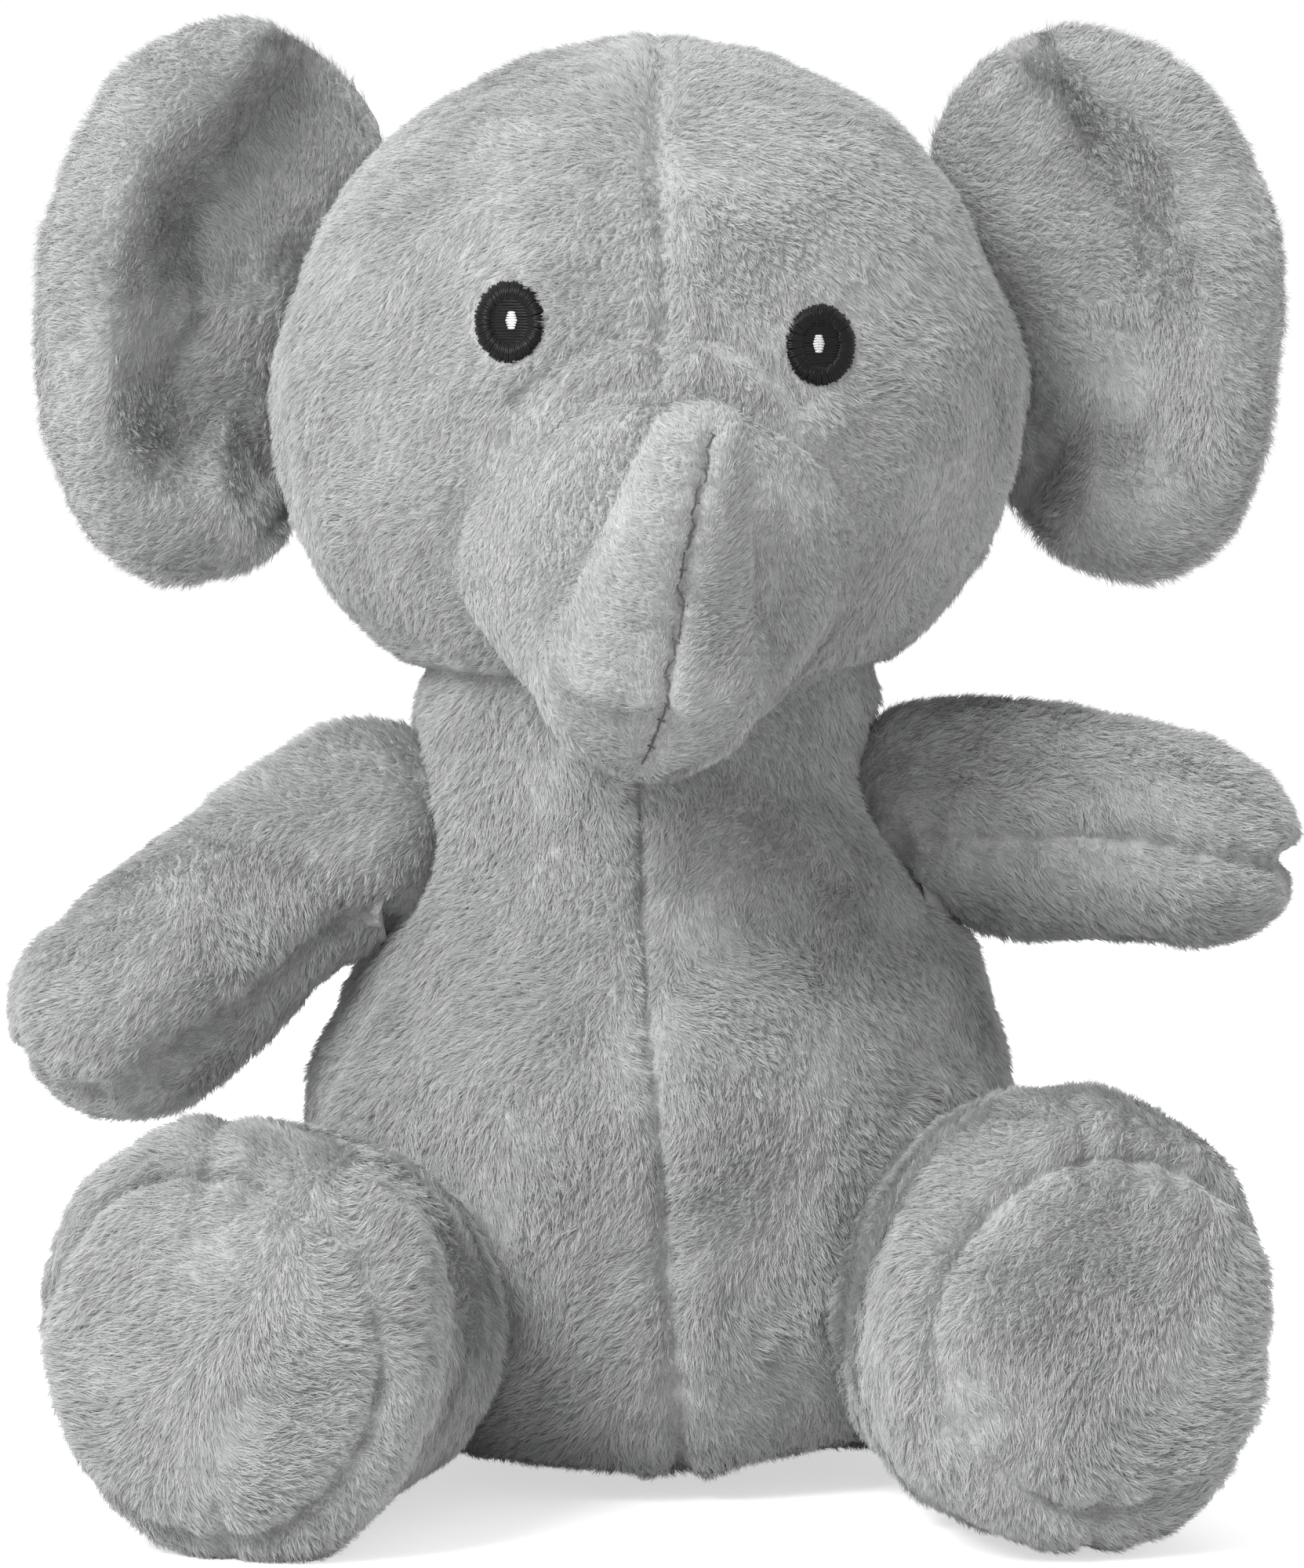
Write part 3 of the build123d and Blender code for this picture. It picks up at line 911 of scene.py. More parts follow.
@dataclass
class Torso:
    """The pear-shaped body with its neck, its flat seat and its four panels."""

    pear: tuple[tuple[float, float], ...] = (
        (0, 1.2), (20, 1.2), (38, 1.5), (48.5, 6), (55.5, 17), (58.2, 33), (57.0, 53), (52.4, 70),
        (45.5, 85), (39.5, 98), (36.4, 108), (35.6, 117), (35.0, 124), (34.2, 131), (29, 137), (15, 139.5),
        (0, 140),
    )
    front_seam: tuple[tuple[float, float], ...] = (
        (-3.9, 118), (-3.0, 100), (-1.6, 76), (0.6, 53), (2.4, 26), (3.3, 5),
    )
    lean: tuple[tuple[float, float], ...] = (
        (0, 1.2), (54, 1.0), (70, 1.2), (85, 2.6), (98, 1.2), (108, -2.2), (118, -2.0), (137, 0),
    )
    drawn_width: float = 112.0  # the panels' width that the pear's half widths were drawn for
    depth: float = 0.95
    seat_ring: float = 40.0
    around: int = 300

    def build(self) -> PlushSkin:
        """Lofts the pear, and sews its front, back, side and seat seams."""
        low, high = span("torso_front_left", "torso_front_right", "torso_back_left", "torso_back_right")
        middle_y = joint_place("neck_turn")[1]
        width = (high[0] - low[0]) / self.drawn_width
        line = through(self.pear, 150)
        angle = np.linspace(0, 2 * math.pi, self.around, endpoint=False)
        r, z = line[:, 0] * width, line[:, 1] + low[2] - 0.5
        lean = through(self.lean, 200)
        x = r[:, None] * np.cos(angle) + np.interp(z, lean[:, 0], lean[:, 1])[:, None]
        y = middle_y + r[:, None] * np.sin(angle) * self.depth
        form = loft(np.stack([x, y, np.broadcast_to(z[:, None], x.shape)], axis=2))
        tree = form.tree()
        front = cast_line(tree, self.front_seam)
        back = cast_line(tree, [(-x, z) for x, z in self.front_seam], back=True)
        sides = []
        for sign in (-1, 1):
            arc = [(sign * a * width * 0.995, middle_y - 5, b) for a, b in self.pear[3:12]]
            sides.append(Seam(through(arc, 50), depth=1.0, width=2.0, puff=0.4, reach=6, pucker=0.3, pitch=8))
        seat = []
        for t in np.linspace(0, 2 * math.pi, 41):
            seat.append((
                self.seat_ring * math.cos(t) * width,
                middle_y + self.seat_ring * math.sin(t) * self.depth,
                low[2] + 1.0,
            ))
        seams = [
            Seam(front, depth=2.2, width=1.7, puff=0.7, reach=5.0, pucker=0.4, pitch=6.5, trap=0.85),
            Seam(back, depth=1.6, width=1.6, puff=0.5, pucker=0.3, trap=0.8),
            Seam(np.array(seat), depth=0.7, width=1.6, puff=0.0, pucker=0.1),
            *sides,
        ]
        return PlushSkin("torso_skin", form, seams, lump=0.9, dimple=0.32, pinch=0.2)

    @staticmethod
    def nap(places: Array, normals: Array) -> Array:
        """The pile of the body lies downwards and a little outwards."""
        out = np.column_stack([0.012 * places[:, 0], np.zeros(len(places)), -np.ones(len(places))])
        flat = normals[:, 2] < -0.9
        out[flat] = (0.3, -1.0, 0.0)
        return out


@dataclass
class Head:
    """The round head, with its centre seam and its brow."""

    outline: tuple[tuple[float, float], ...] = (
        (0.01, 51.6), (10, 51.0), (19, 49), (31, 43.6), (41, 35.8), (51, 23), (57, 8), (59.2, -3),
        (57, -17), (50, -31), (40.5, -42), (32, -48), (20, -54), (8, -57), (0.01, -57.8),
    )
    crown_seam: tuple[tuple[float, float], ...] = (
        (1.2, 226.5), (0.4, 215), (0.8, 200), (1.0, 188), (1.0, 176),
    )
    brow_crease: tuple[tuple[float, float], ...] = (
        (-21, 172), (-13, 178.5), (-4, 181.5), (5, 181.5), (14, 178), (22, 171),
    )
    drawn_width: float = 120.0  # the panels' width that the outline was drawn for
    crown: float = 52.0  # from the middle of the outline to the top of the panels

    def build(self) -> PlushSkin:
        """Shapes the head from a ball, and sews its seams."""
        low, high = span(*(f"head_{a}_{b}" for a in ("front", "back") for b in ("left", "right")))
        wide = (high[0] - low[0]) / self.drawn_width
        centre = np.array([-1.0, joint_place("head_nod")[1], high[2] - self.crown])
        line = through(self.outline, 400)
        polar = np.arctan2(line[:, 0], line[:, 1])
        reach = np.hypot(line[:, 0], line[:, 1])
        form = ball(6)
        way = form.points
        across = np.hypot(way[:, 0], way[:, 1])
        size = np.interp(np.arctan2(across, way[:, 2]), polar, reach)
        stretch = 1 + 0.012 * way[:, 0] * (way[:, 0] < 0) * -1
        form.points = centre + way * size[:, None] * np.array([wide, wide, 1.0]) * stretch[:, None]
        tree = form.tree()
        crown = cast_line(tree, self.crown_seam, 80)
        rear = cast_line(tree, [(-1, 226), (-1, 200), (-1, 160), (-1, 128)], 90, back=True)
        crown = np.vstack([rear[0][None] * 0.5 + crown[0][None] * 0.5, crown])
        brow = cast_line(tree, self.brow_crease, 50)
        sides = []
        for sign in (-1, 1):
            arc = [centre + np.array([sign * a * wide * 0.995, 4.0, b]) for a, b in self.outline[1:12]]
            sides.append(Seam(np.array(arc), depth=0.9, width=2.0, puff=0.3, pucker=0.2, pitch=8))
        seams = [
            Seam(crown, depth=1.8, width=1.5, puff=0.5, reach=4.5, pucker=0.3, pitch=6, trap=0.85),
            Seam(rear, depth=1.5, width=1.6, puff=0.4, trap=0.8),
            Seam(brow, depth=1.3, width=2.0, puff=0.7, reach=5, pucker=0.1, trap=0.35),
            *sides,
        ]
        return PlushSkin("head_skin", form, seams, lump=0.8, dimple=0.28, swirl=0.4, trim=0.85, pinch=0.4)

    @staticmethod
    def nap(places: Array, normals: Array) -> Array:
        """The pile of the head lies down and away from the crown, and outwards on the cheeks."""
        none = np.zeros(len(places))
        down = np.column_stack([0.016 * places[:, 0] - 0.12, none, none - 0.8])
        out = np.column_stack([np.sign(places[:, 0]) * 0.9, none, none + 0.4])
        crown = smooth_step(places[:, 2], 190, 222)[:, None]
        return down * (1 - crown) + crown * out


@dataclass
class MuzzleAndTrunk:
    """The broad muzzle cone that narrows, turns up and ends in the trunk's tip, in one sewn skin."""

    swell: tuple[tuple[float, float], ...] = (
        # share of the way from the face to the bend, and the half width there
        (-0.35, 31), (0, 32.5), (0.38, 30.6), (0.6, 26.8), (0.82, 22.0), (1.0, 18.0),
    )
    lift: tuple[tuple[float, float, float], ...] = (
        # x, z and half width of the turned-up tip
        (-1.2, 131.0, 16.8), (-0.6, 136.0, 15.2), (0.6, 142, 12.4), (1.8, 147.5, 11.0), (3.5, 154.5, 9.6),
        (5.2, 160.5, 8.7), (6.5, 164.8, 7.6),
    )
    under_seam: tuple[tuple[float, float], ...] = (
        (7.6, 167.0), (6.6, 161), (5.0, 152), (3.4, 143), (1.9, 133), (0.9, 126), (-1.0, 120), (-2.6, 116.6),
    )
    face: tuple[float, float, float] = (0.0, -24.0, 153.5)
    nose_size: float = 17.4
    slope: float = 0.54  # how far the tip leans forward for its height
    tip_length: float = 6.6
    tip_size: float = 7.4
    voxel: float = 0.95
    under_path: Array | None = None

    def cone(self, nose: Array) -> Form:
        """Lofts the muzzle from inside the face to the bend, a little narrower on its low side.

        Args:
            nose: the middle of the bend.

        Returns:
            The muzzle's closed form.
        """
        start = np.array(self.face)
        line = through(self.swell, 60)
        middle = start + (nose - start) * line[:, :1]
        centres = np.vstack([middle[:1] + [0, 0.5, 0], middle, middle[-1:] + [0, -0.5, 0]])
        radii = np.column_stack([line[:, 1], line[:, 1]])
        radii = np.vstack([[0.1, 0.1], radii, [0.1, 0.1]])
        form = loft(ring_stations(centres, radii, 150, (1, 0, 0)))
        low_side = smooth_step(start[2] - 8 - form.points[:, 2], 0, 24)
        form.points[:, 0] *= 1 - 0.13 * low_side * smooth_step(form.points[:, 1], -62, -46)
        return form

    def tip(self, bend: Array) -> Form:
        """Lofts the turned-up end of the trunk and rounds it off.

        Args:
            bend: the place of the trunk's joint.

        Returns:
            The tip's closed form.
        """
        line = [(x, bend[1] - self.slope * (z - bend[2]) + 3.0, z, r) for x, z, r in through(self.lift, 40)]
        body = np.array(line)
        way = body[-1, :3] - body[-3, :3]
        way = way / np.linalg.norm(way)
        steps = np.linspace(0.1, math.pi / 2 - 0.02, 12)
        cap = [body[-1, :3] + way * self.tip_length * math.sin(a) for a in steps]
        centres = np.vstack([body[:1, :3] - [0, 0, 0.5], body[:, :3], cap])
        widths = np.concatenate([[0.1], body[:, 3], [self.tip_size * math.cos(a) for a in steps]])
        return loft(ring_stations(centres, np.column_stack([widths, widths * 1.04]), 72, (1, 0, 0)))

    def build(self) -> PlushSkin:
        """Unites the cone, the curled nose and the tip, and sews the under seam."""
        bend = joint_place("trunk_bend")
        nose = bend + np.array([0.0, 6.0, 4.0])
        nose_ball = ball(5)
        nose_ball.points = nose + nose_ball.points * self.nose_size
        form = remeshed([self.cone(nose), nose_ball, self.tip(bend)], self.voxel)
        form.relax(26)
        tree = form.tree()
        self.under_path = cast_line(tree, self.under_seam, 110)
        seam = Seam(
            self.under_path, depth=1.25, width=1.15, puff=0.45, reach=3.4, pucker=0.22, pitch=5.4, trap=0.8
        )
        return PlushSkin("trunk_skin", form, [seam], lump=0.55, dimple=0.22, swirl=0.4, trim=0.62, pinch=2.2)

    @staticmethod
    def nap(places: Array, normals: Array) -> Array:
        """The pile runs from the brow down the muzzle and up the trunk to its tip, parted by the seam."""
        none = np.zeros(len(places))
        trunk = smooth_step(-places[:, 1], 66, 76)[:, None]
        down = np.column_stack([0.02 * places[:, 0], none - 0.5, none - 1])
        side = np.clip(places[:, 0] - 0.18 * (places[:, 2] - 128), -6, 6) * 0.16
        up = np.column_stack([side, none, none + 0.85])
        return down * (1 - trunk) + up * trunk


@dataclass
class Ear:
    """A flat padded ear: a soft outer roll round a cupped middle, seamed behind its rim."""

    side: Side
    reach: tuple[tuple[float, float], ...] = (
        # angle from straight out towards the top, in degrees, and the distance to the rim
        (-180, 21), (-155, 22), (-130, 26), (-110, 34.5), (-95, 41.5), (-80, 45.0), (-67, 44.0), (-54, 40.3),
        (-42, 36.4), (-27, 32.0), (-10, 29.8), (8, 29.4), (31, 31.2), (46, 33.8), (60, 37.6), (74, 41.8),
        (90, 45.0), (102, 45.0), (116, 42.0), (130, 38.0), (150, 29), (168, 23), (180, 21),
    )
    inset: float = 29.1  # from the outermost point to the middle
    half_thickness: float = 5.6
    rings: int = 46
    around: int = 230

    def faces(self, u: Array, v: Array, inward: Array, share: Array) -> tuple[Array, Array]:
        """Works out how far back each face of the ear lies.

        Args:
            u: places outwards from the middle.
            v: places upwards from the middle.
            inward: each place's distance from the free rim.
            share: each ring's share of the way from the middle to the rim.

        Returns:
            The depths of the front and the back face, which meet in the last ring.
        """
        edge = np.sqrt(np.clip(1 - share**2.6, 0, 1))[:, None]
        thick = self.half_thickness * edge
        cup = 11.0 * smooth_step(inward, 11.5, 28.0) + 8.0 * smooth_step(-u, -18, 22)
        roll = -2.4 * np.exp(-(((inward - 10.0) / 6.0) ** 2))
        fold = 0.8 * np.sin(v / 14.0) * smooth_step(inward, 3, 14)
        bow = -4.5 + 0.0016 * v**2
        front = bow + roll + cup - thick + fold * 0.6
        back = bow + 0.62 * cup + thick * 0.92 + 1.0
        back = np.maximum(back, front + 3.2 * edge)
        front[-1] = back[-1] = bow[-1] + roll[-1] + cup[-1]
        return front, back

    def build(self) -> PlushSkin:
        """Shapes both faces of the ear and joins them in its rim."""
        word, sign = self.side.word, self.side.value
        low, high = span(f"ear_{word}_front", f"ear_{word}_back")
        centre = (low + high) / 2
        centre[0] = sign * (max(abs(low[0]), abs(high[0])) - self.inset)
        table = through(self.reach, 400)
        angle = np.linspace(-math.pi, math.pi, self.around, endpoint=False)
        size = np.interp(np.degrees(angle), table[:, 0], table[:, 1])
        share = 1 - (1 - np.linspace(0, 1, self.rings)) ** 1.6
        u = share[:, None] * size * np.cos(angle)
        v = share[:, None] * size * np.sin(angle)
        head_side = smooth_step(-np.cos(angle), -0.05, 0.5)
        inward = (size + (60 - size) * head_side) * (1 - share[:, None]) + 34 * head_side * share[:, None]
        x, z = centre[0] + sign * u, centre[2] - 0.5 + v
        front, back = (np.stack([x, centre[1] + y, z], axis=2) for y in self.faces(u, v, inward, share))
        rings = np.vstack([front, back[::-1][1:]])
        if sign < 0:
            rings = rings[:, ::-1]
        form = loft(rings[::-1])
        form.relax(3, 0.4)
        rim = rings[self.rings - 1, ::3]
        behind = rim + (centre - rim) * 0.055 + np.array([0, -1.8, 0])
        seams = [Seam(behind, depth=0.55, width=1.3, puff=0.25, reach=4.0, pucker=0.16, pitch=6.0, trap=0.3)]
        return PlushSkin(f"ear_{word}_skin", form, seams, lump=0.45, dimple=0.18, swirl=0.4, trim=0.85)

    def nap(self, places: Array, normals: Array) -> Array:
        """The pile lies outwards from the head and a little up the rim."""
        centre = places.mean(0)
        away = places - centre
        out = unit(away * np.array([1.0, 0.0, 0.7])) * 0.55
        out[:, 0] += self.side.value * 0.75
        out[:, 2] -= 0.18
        return out


@dataclass
class Arm:
    """A stuffed arm of an upper and a lower panel, from inside the shoulder to its rounded hand."""

    side: Side
    lines: ClassVar[dict[Side, tuple[tuple[float, ...], ...]]] = {
        # x, y and z from the shoulder, and the half thickness
        Side.RIGHT: (
            (9, 1, -8, 12.5), (0, 0, 0, 17.4), (-12, -3, -2.6, 17.0), (-22.5, -7, -9.6, 16.6),
            (-34, -11.5, -18.8, 17.3), (-42, -14.5, -25.8, 17.2),
        ),
        Side.LEFT: (
            (-8, 1, -6, 12.5), (0, 0, 0, 17.0), (14, -4, -0.3, 16.9), (28, -9.5, -0.6, 16.5),
            (38, -14.5, -1.6, 15.8), (43, -16.5, -2.6, 14.9),
        ),
    }
    hand: float = 15.4
    root: float = 11.0
    around: int = 104

    def stations(self) -> tuple[Array, Array]:
        """Returns the centre line and the half thickness along it."""
        shoulder = joint_place(f"arm_{self.side.word}_raise")
        body = through(self.lines[self.side], 44)
        body[:, :3] += shoulder
        way = unit(body[-1, :3] - body[-4, :3])
        end = []
        for a in np.linspace(0, math.pi / 2, 17)[1:]:
            size = math.cos(a) ** 0.82
            end.append([*(body[-1, :3] + way * self.hand * math.sin(a)), body[-1, 3] * size + 0.05])
        way = unit(body[1, :3] - body[0, :3])
        start = [
            [*(body[0, :3] - way * self.root * math.sin(a)), body[0, 3] * math.cos(a) + 0.05]
            for a in np.linspace(math.pi / 2, 0, 9)[:-1]
        ]
        every = np.vstack([start, body, end])
        return every[:, :3], every[:, 3]

    def build(self) -> PlushSkin:
        """Lofts the arm and sews its two long seams round the tip."""
        word = self.side.word
        centres, size = self.stations()
        rings = ring_stations(centres, np.column_stack([size * 0.96, size]), self.around, (0, -1, 0))
        drop = math.radians(38 if self.side is Side.RIGHT else 4)
        turn = int(round(drop / (2 * math.pi) * self.around)) * (-1 if self.side is Side.RIGHT else 1)
        form = loft(rings)
        front = rings[10:-1, turn % self.around]
        rear = rings[10:-1, (turn + self.around // 2) % self.around][::-1]
        tip = rings[-1, 0]
        around_tip = np.vstack([front, tip[None], rear])
        seams = [Seam(around_tip, depth=2.0, width=1.9, puff=0.7, reach=5.5, pucker=0.5, pitch=7, trap=0.75)]
        skin = PlushSkin(f"arm_{word}_skin", form, seams, lump=0.9, dimple=0.34, swirl=0.65, pinch=0.6)
        hollow = np.exp(-((np.linalg.norm(form.points - front[-16], axis=1) / 5.5) ** 2))
        notch = np.exp(-((np.linalg.norm(form.points - tip, axis=1) / 4.5) ** 2))
        form.points -= form.normals() * (1.6 * hollow + 1.5 * notch)[:, None]
        return skin

    def nap(self, places: Array, normals: Array) -> Array:
        """The pile lies along the arm towards the hand."""
        centres, _ = self.stations()
        way = centres[-18] - centres[12]
        return np.broadcast_to(way, places.shape) + np.array([0, 0, -12.0])


@dataclass
class Leg:
    """A stuffed leg with a broad round foot and a sewn-in sole."""

    side: Side
    around: int = 176
    sole_wide: float = 27.2
    sole_tall: float = 26.6
    rounding: float = 15.0
    root: float = 14.0
    face: Array | None = None

    def build(self) -> PlushSkin:
        """Lofts the leg and its foot, and sews the sole and the long seams."""
        word, sign = self.side.word, self.side.value
        hip = joint_place(f"leg_{word}_lift")
        low, _ = span(f"leg_{word}_outer", f"leg_{word}_inner", f"leg_{word}_sole")
        tall = 31.0 if self.side is Side.RIGHT else 34.0
        wide = 30.6 if self.side is Side.RIGHT else 28.8
        heel = np.array([sign * 62.4, low[1] + self.rounding + 2.0, tall + 0.4])
        body = through(
            [
                (*(hip + [-sign * 4, 16, -1.0]), 18.0, 18.0),
                (*(hip + [0, 2, 0]), 24.0, 24.5),
                (*(hip * 0.55 + heel * 0.45 + [0, 0, -1.0]), wide - 2.6, tall - 4.5),
                (*(hip * 0.25 + heel * 0.75), wide - 0.7, tall - 1.2),
                (*heel, wide, tall),
            ],
            56,
        )
        way = unit(unit(heel - hip) + [sign * 0.02, 0, 0.0])
        end = []
        for a in np.linspace(0, math.pi / 2, 34)[1:]:
            out = math.sin(a) ** 0.9
            size = math.cos(a) ** 0.62
            end.append([*(heel + way * self.rounding * out), wide * size + 0.05, tall * size + 0.05])
        back = unit(body[1, :3] - body[0, :3])
        start = [
            [*(body[0, :3] - back * self.root * math.sin(a)), *(body[0, 3:] * math.cos(a) + 0.05)]
            for a in np.linspace(math.pi / 2, 0, 10)[:-1]
        ]
        every = np.vstack([start, body, end])
        rings = ring_stations(every[:, :3], every[:, 3:], self.around, (1, 0, 0), roundness=2.12)
        form = loft(rings)
        self.face = heel + way * self.rounding
        sideways = unit(np.cross(way, UP))
        circle = []
        tree = form.tree()
        for t in np.linspace(0, 2 * math.pi, 73):
            spot = self.face + sideways * (math.cos(t) * self.sole_wide - 2.8 * sign) - UP * 1.6
            spot = spot + UP * math.sin(t) * self.sole_tall
            hit = tree.ray_cast(Vector(spot + way * 30), Vector(-way))
            if hit[0] is not None:
                circle.append(np.array(hit[0]))
        sole = np.array(circle)
        top = self.around // 4
        upper = rings[12:-14, (top + 2) % self.around]
        under = rings[12:-14, (3 * top) % self.around]
        seams = [
            Seam(sole, depth=1.9, width=1.8, puff=0.5, reach=5.5, pucker=0.35, pitch=7.5, trap=0.7),
            Seam(upper, depth=1.0, width=1.8, puff=0.4, pucker=0.2, trap=0.4),
            Seam(under, depth=0.6, width=1.8, puff=0.2),
        ]
        return PlushSkin(f"leg_{word}_skin", form, seams, lump=0.8, dimple=0.26, swirl=0.6)

    def nap(self, places: Array, normals: Array) -> Array:
        """The pile of the sole lies up and round, and that of the leg towards the foot."""
        away = places - self.face
        none = np.zeros(len(places))
        sole = smooth_step(-places[:, 1], -self.face[1] - 24, -self.face[1] - 8)[:, None]
        swirl = np.column_stack([away[:, 0] * 0.6 - away[:, 2] * 0.5, none, away[:, 2] * 0.35 - 12.0])
        leg = np.broadcast_to(np.array([self.side.value * 2.0, -9.0, -5.0]), places.shape)
        return leg * (1 - sole) + swirl * sole


@dataclass
class Tail:
    """A short stuffed tail."""

    tip_size: float = 3.4
    around: int = 40

    def build(self) -> PlushSkin:
        """Lofts the tail from inside the back to its round tip."""
        root = joint_place("tail_swing")
        low, high = span("tail")
        tip = np.array([root[0], high[1] - 4.0, low[2] + 3.0])
        inside, halfway = root + [0, -6, 3], (root + tip) / 2 + [0, 2.0, 1.5]
        body = through([(*inside, 4.4), (*root, 4.6), (*halfway, 4.0), (*tip, self.tip_size)], 26)
        way = unit(body[-1, :3] - body[-3, :3])
        end = [
            [*(body[-1, :3] + way * self.tip_size * math.sin(a)), self.tip_size * math.cos(a) + 0.03]
            for a in np.linspace(0, math.pi / 2, 10)[1:]
        ]
        start = [[*(body[0, :3] - [0, 0.4, 0]), 0.05]]
        every = np.vstack([start, body, end])
        rings = ring_stations(every[:, :3], np.column_stack([every[:, 3]] * 2), self.around, (1, 0, 0))
        return PlushSkin("tail_skin", loft(rings), [], lump=0.1, dimple=0.1, swirl=0.3)

    @staticmethod
    def nap(places: Array, normals: Array) -> Array:
        """The pile lies down the tail."""
        return np.broadcast_to(np.array([0.0, 0.4, -1.0]), places.shape)


# ---------------------------------------------------------------- thread work


def strand(path: Array, radius: float, around: int = 6, flat: float = 1.0, rise: Array | None = None) -> Form:
    """Makes one thread along a path, with tapered round ends.

    Args:
        path: the thread's centre line.
        radius: its half width.
        around: points on each ring.
        flat: its height as a share of its width.
        rise: the direction in which it is flattened.

    Returns:
        The thread's closed form.
    """
    way = unit(path[-1] - path[0])
    line = np.vstack([path[:1] - way * radius * 0.6, path, path[-1:] + way * radius * 0.6])
    size = np.concatenate([[0.02], [0.75], np.ones(len(path) - 2), [0.75], [0.02]]) * radius
    side = np.cross(way, FRONT if rise is None else rise)
    if np.linalg.norm(side) < 1e-3:
        side = np.array([0.3, 0.1, 1.0])
    return loft(ring_stations(line, np.column_stack([size, size * flat]), around, side))


@dataclass
class Eye:
    """An embroidered eye: a disc of level satin stitches inside a ring of radial ones, and a white glint."""

    side: Side
    band: float = 2.3
    radial: int = 78
    rows: int = 17
    thread: float = 0.27
    glint_rows: int = 7
    glint_tall: float = 0.21  # half its height, as a share of the eye's

    def build(self, skin: Form, wardrobe: Wardrobe) -> Array:
        """Sews the eye on the head skin.

        Args:
            skin: the head's form.
            wardrobe: the finishes.

        Returns:
            The middle of the eye.
        """
        word = self.side.word
        low, high = span(f"eye_{word}_embroidery")
        centre = (low + high) / 2
        half = np.array([(high[0] - low[0]) / 2, (high[2] - low[2]) / 2])
        tree = skin.tree()
        draw = np.random.default_rng(60 + self.side.value)

        def spot(u: float, v: float, lift: float) -> Array:
            """Places a point of the eye above the skin, from its shares of the eye's half size."""
            x, z = centre[0] + u * half[0], centre[2] + v * half[1]
            return cast(tree, x, z) + FRONT * lift

        ring, fill, pupil = [], [], []
        inner = 1 - self.band / half.mean()
        for i in range(self.radial):
            t = 2 * math.pi * i / self.radial + draw.uniform(-0.02, 0.02)
            out = 1.0 + draw.uniform(-0.03, 0.03)
            near = inner - 0.06 + draw.uniform(-0.03, 0.03)
            arch = (
                (out, 0.35), (out - 0.12, 0.95), ((out + near) / 2, 1.15), (near + 0.08, 0.95), (near, 0.5),
            )
            path = [spot(k * math.cos(t), k * math.sin(t), height) for k, height in arch]
            ring.append(strand(np.array(path), self.thread, flat=0.7))
        for i in range(self.rows):
            v = inner * (-1 + 2 * (i + 0.5) / self.rows)
            wide = math.sqrt(max(inner**2 - v**2, 0)) + 0.03
            path = [spot(u, v + draw.uniform(-0.008, 0.008), 0.62) for u in np.linspace(-wide, wide, 6)]
            fill.append(strand(np.array(path), self.thread, flat=0.7))
        turns = np.linspace(0, 2 * math.pi, 49)[:-1]
        disc = []
        for k in np.maximum(np.linspace(0.0, 0.97, 9), 0.001):
            disc.append([spot(k * math.cos(t), k * math.sin(t), 0.3) for t in turns])
        front = np.array(disc)
        backing = loft(np.vstack([front, front[::-1] + FRONT * -0.9])[::-1])
        shift = -0.06 * self.side.value
        for i in range(self.glint_rows):
            v = self.glint_tall * (-1 + 2 * (i + 0.5) / self.glint_rows)
            wide = 0.16 * (1.0 - 0.5 * abs(v) / self.glint_tall)
            path = [spot(shift + u, 0.03 + v * 1.05, 1.0) for u in np.linspace(-wide, wide, 4)]
            pupil.append(strand(np.array(path), 0.2, flat=0.8))
        for name, forms, material, slot, node in (
            ("stitches", [*ring, *fill, backing], wardrobe.black, "black_thread", "embroidery"),
            ("glint", pupil, wardrobe.white, "white_thread", "highlight"),
        ):
            thing = joined(forms).object(f"eye_{word}_{name}")
            thing.data.materials.append(material)
            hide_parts(f"eye_{word}_{node}")
            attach(thing, "head")
            log.info("piece %s: %d threads", thing.name, len(forms))
        return centre


@dataclass
class TrunkStitches:
    """The line of sewing that shows in the parted pile of the trunk's under seam."""

    pitch: float = 2.7
    radius: float = 0.15
    stand: float = 0.2  # how far the thread's middle stands out of the seam
    points: int = 8  # on each stitch
    tick: float = 0.6

    def build(self, path: Array, skin: Form, wardrobe: Wardrobe) -> bpy.types.Object:
        """Lays running stitches with small cross ticks in the seam.

        Args:
            path: the seam's line on the skin.
            skin: the finished trunk skin's form.
            wardrobe: the finishes.

        Returns:
            The thread object.
        """
        tree = skin.tree()
        length = np.linalg.norm(np.diff(path, axis=0), axis=1).sum()
        count = int(length / self.pitch)
        line = through(path, count * self.points + 1)
        found = []
        for place in line:
            near = tree.find_nearest(Vector(place))
            found.append(np.array(near[0]) + np.array(near[1]) * self.stand)
        laid = np.array(found)
        for _ in range(6):
            laid[1:-1] = (laid[:-2] + 2 * laid[1:-1] + laid[2:]) / 4
        forms = []
        for i in range(count):
            run = laid[i * self.points : (i + 1) * self.points]
            forms.append(strand(run, self.radius, rise=FRONT))
            if i % 2 == 0:
                across = unit(np.cross(run[1] - run[0], FRONT)) * self.tick
                tick = np.linspace(run[0] - across, run[0] + across, 5) + FRONT * 0.1
                forms.append(strand(tick, self.radius * 0.9, rise=FRONT))
        made = joined(forms).object("trunk_stitches")
        made.data.materials.append(wardrobe.sewing)
        return made


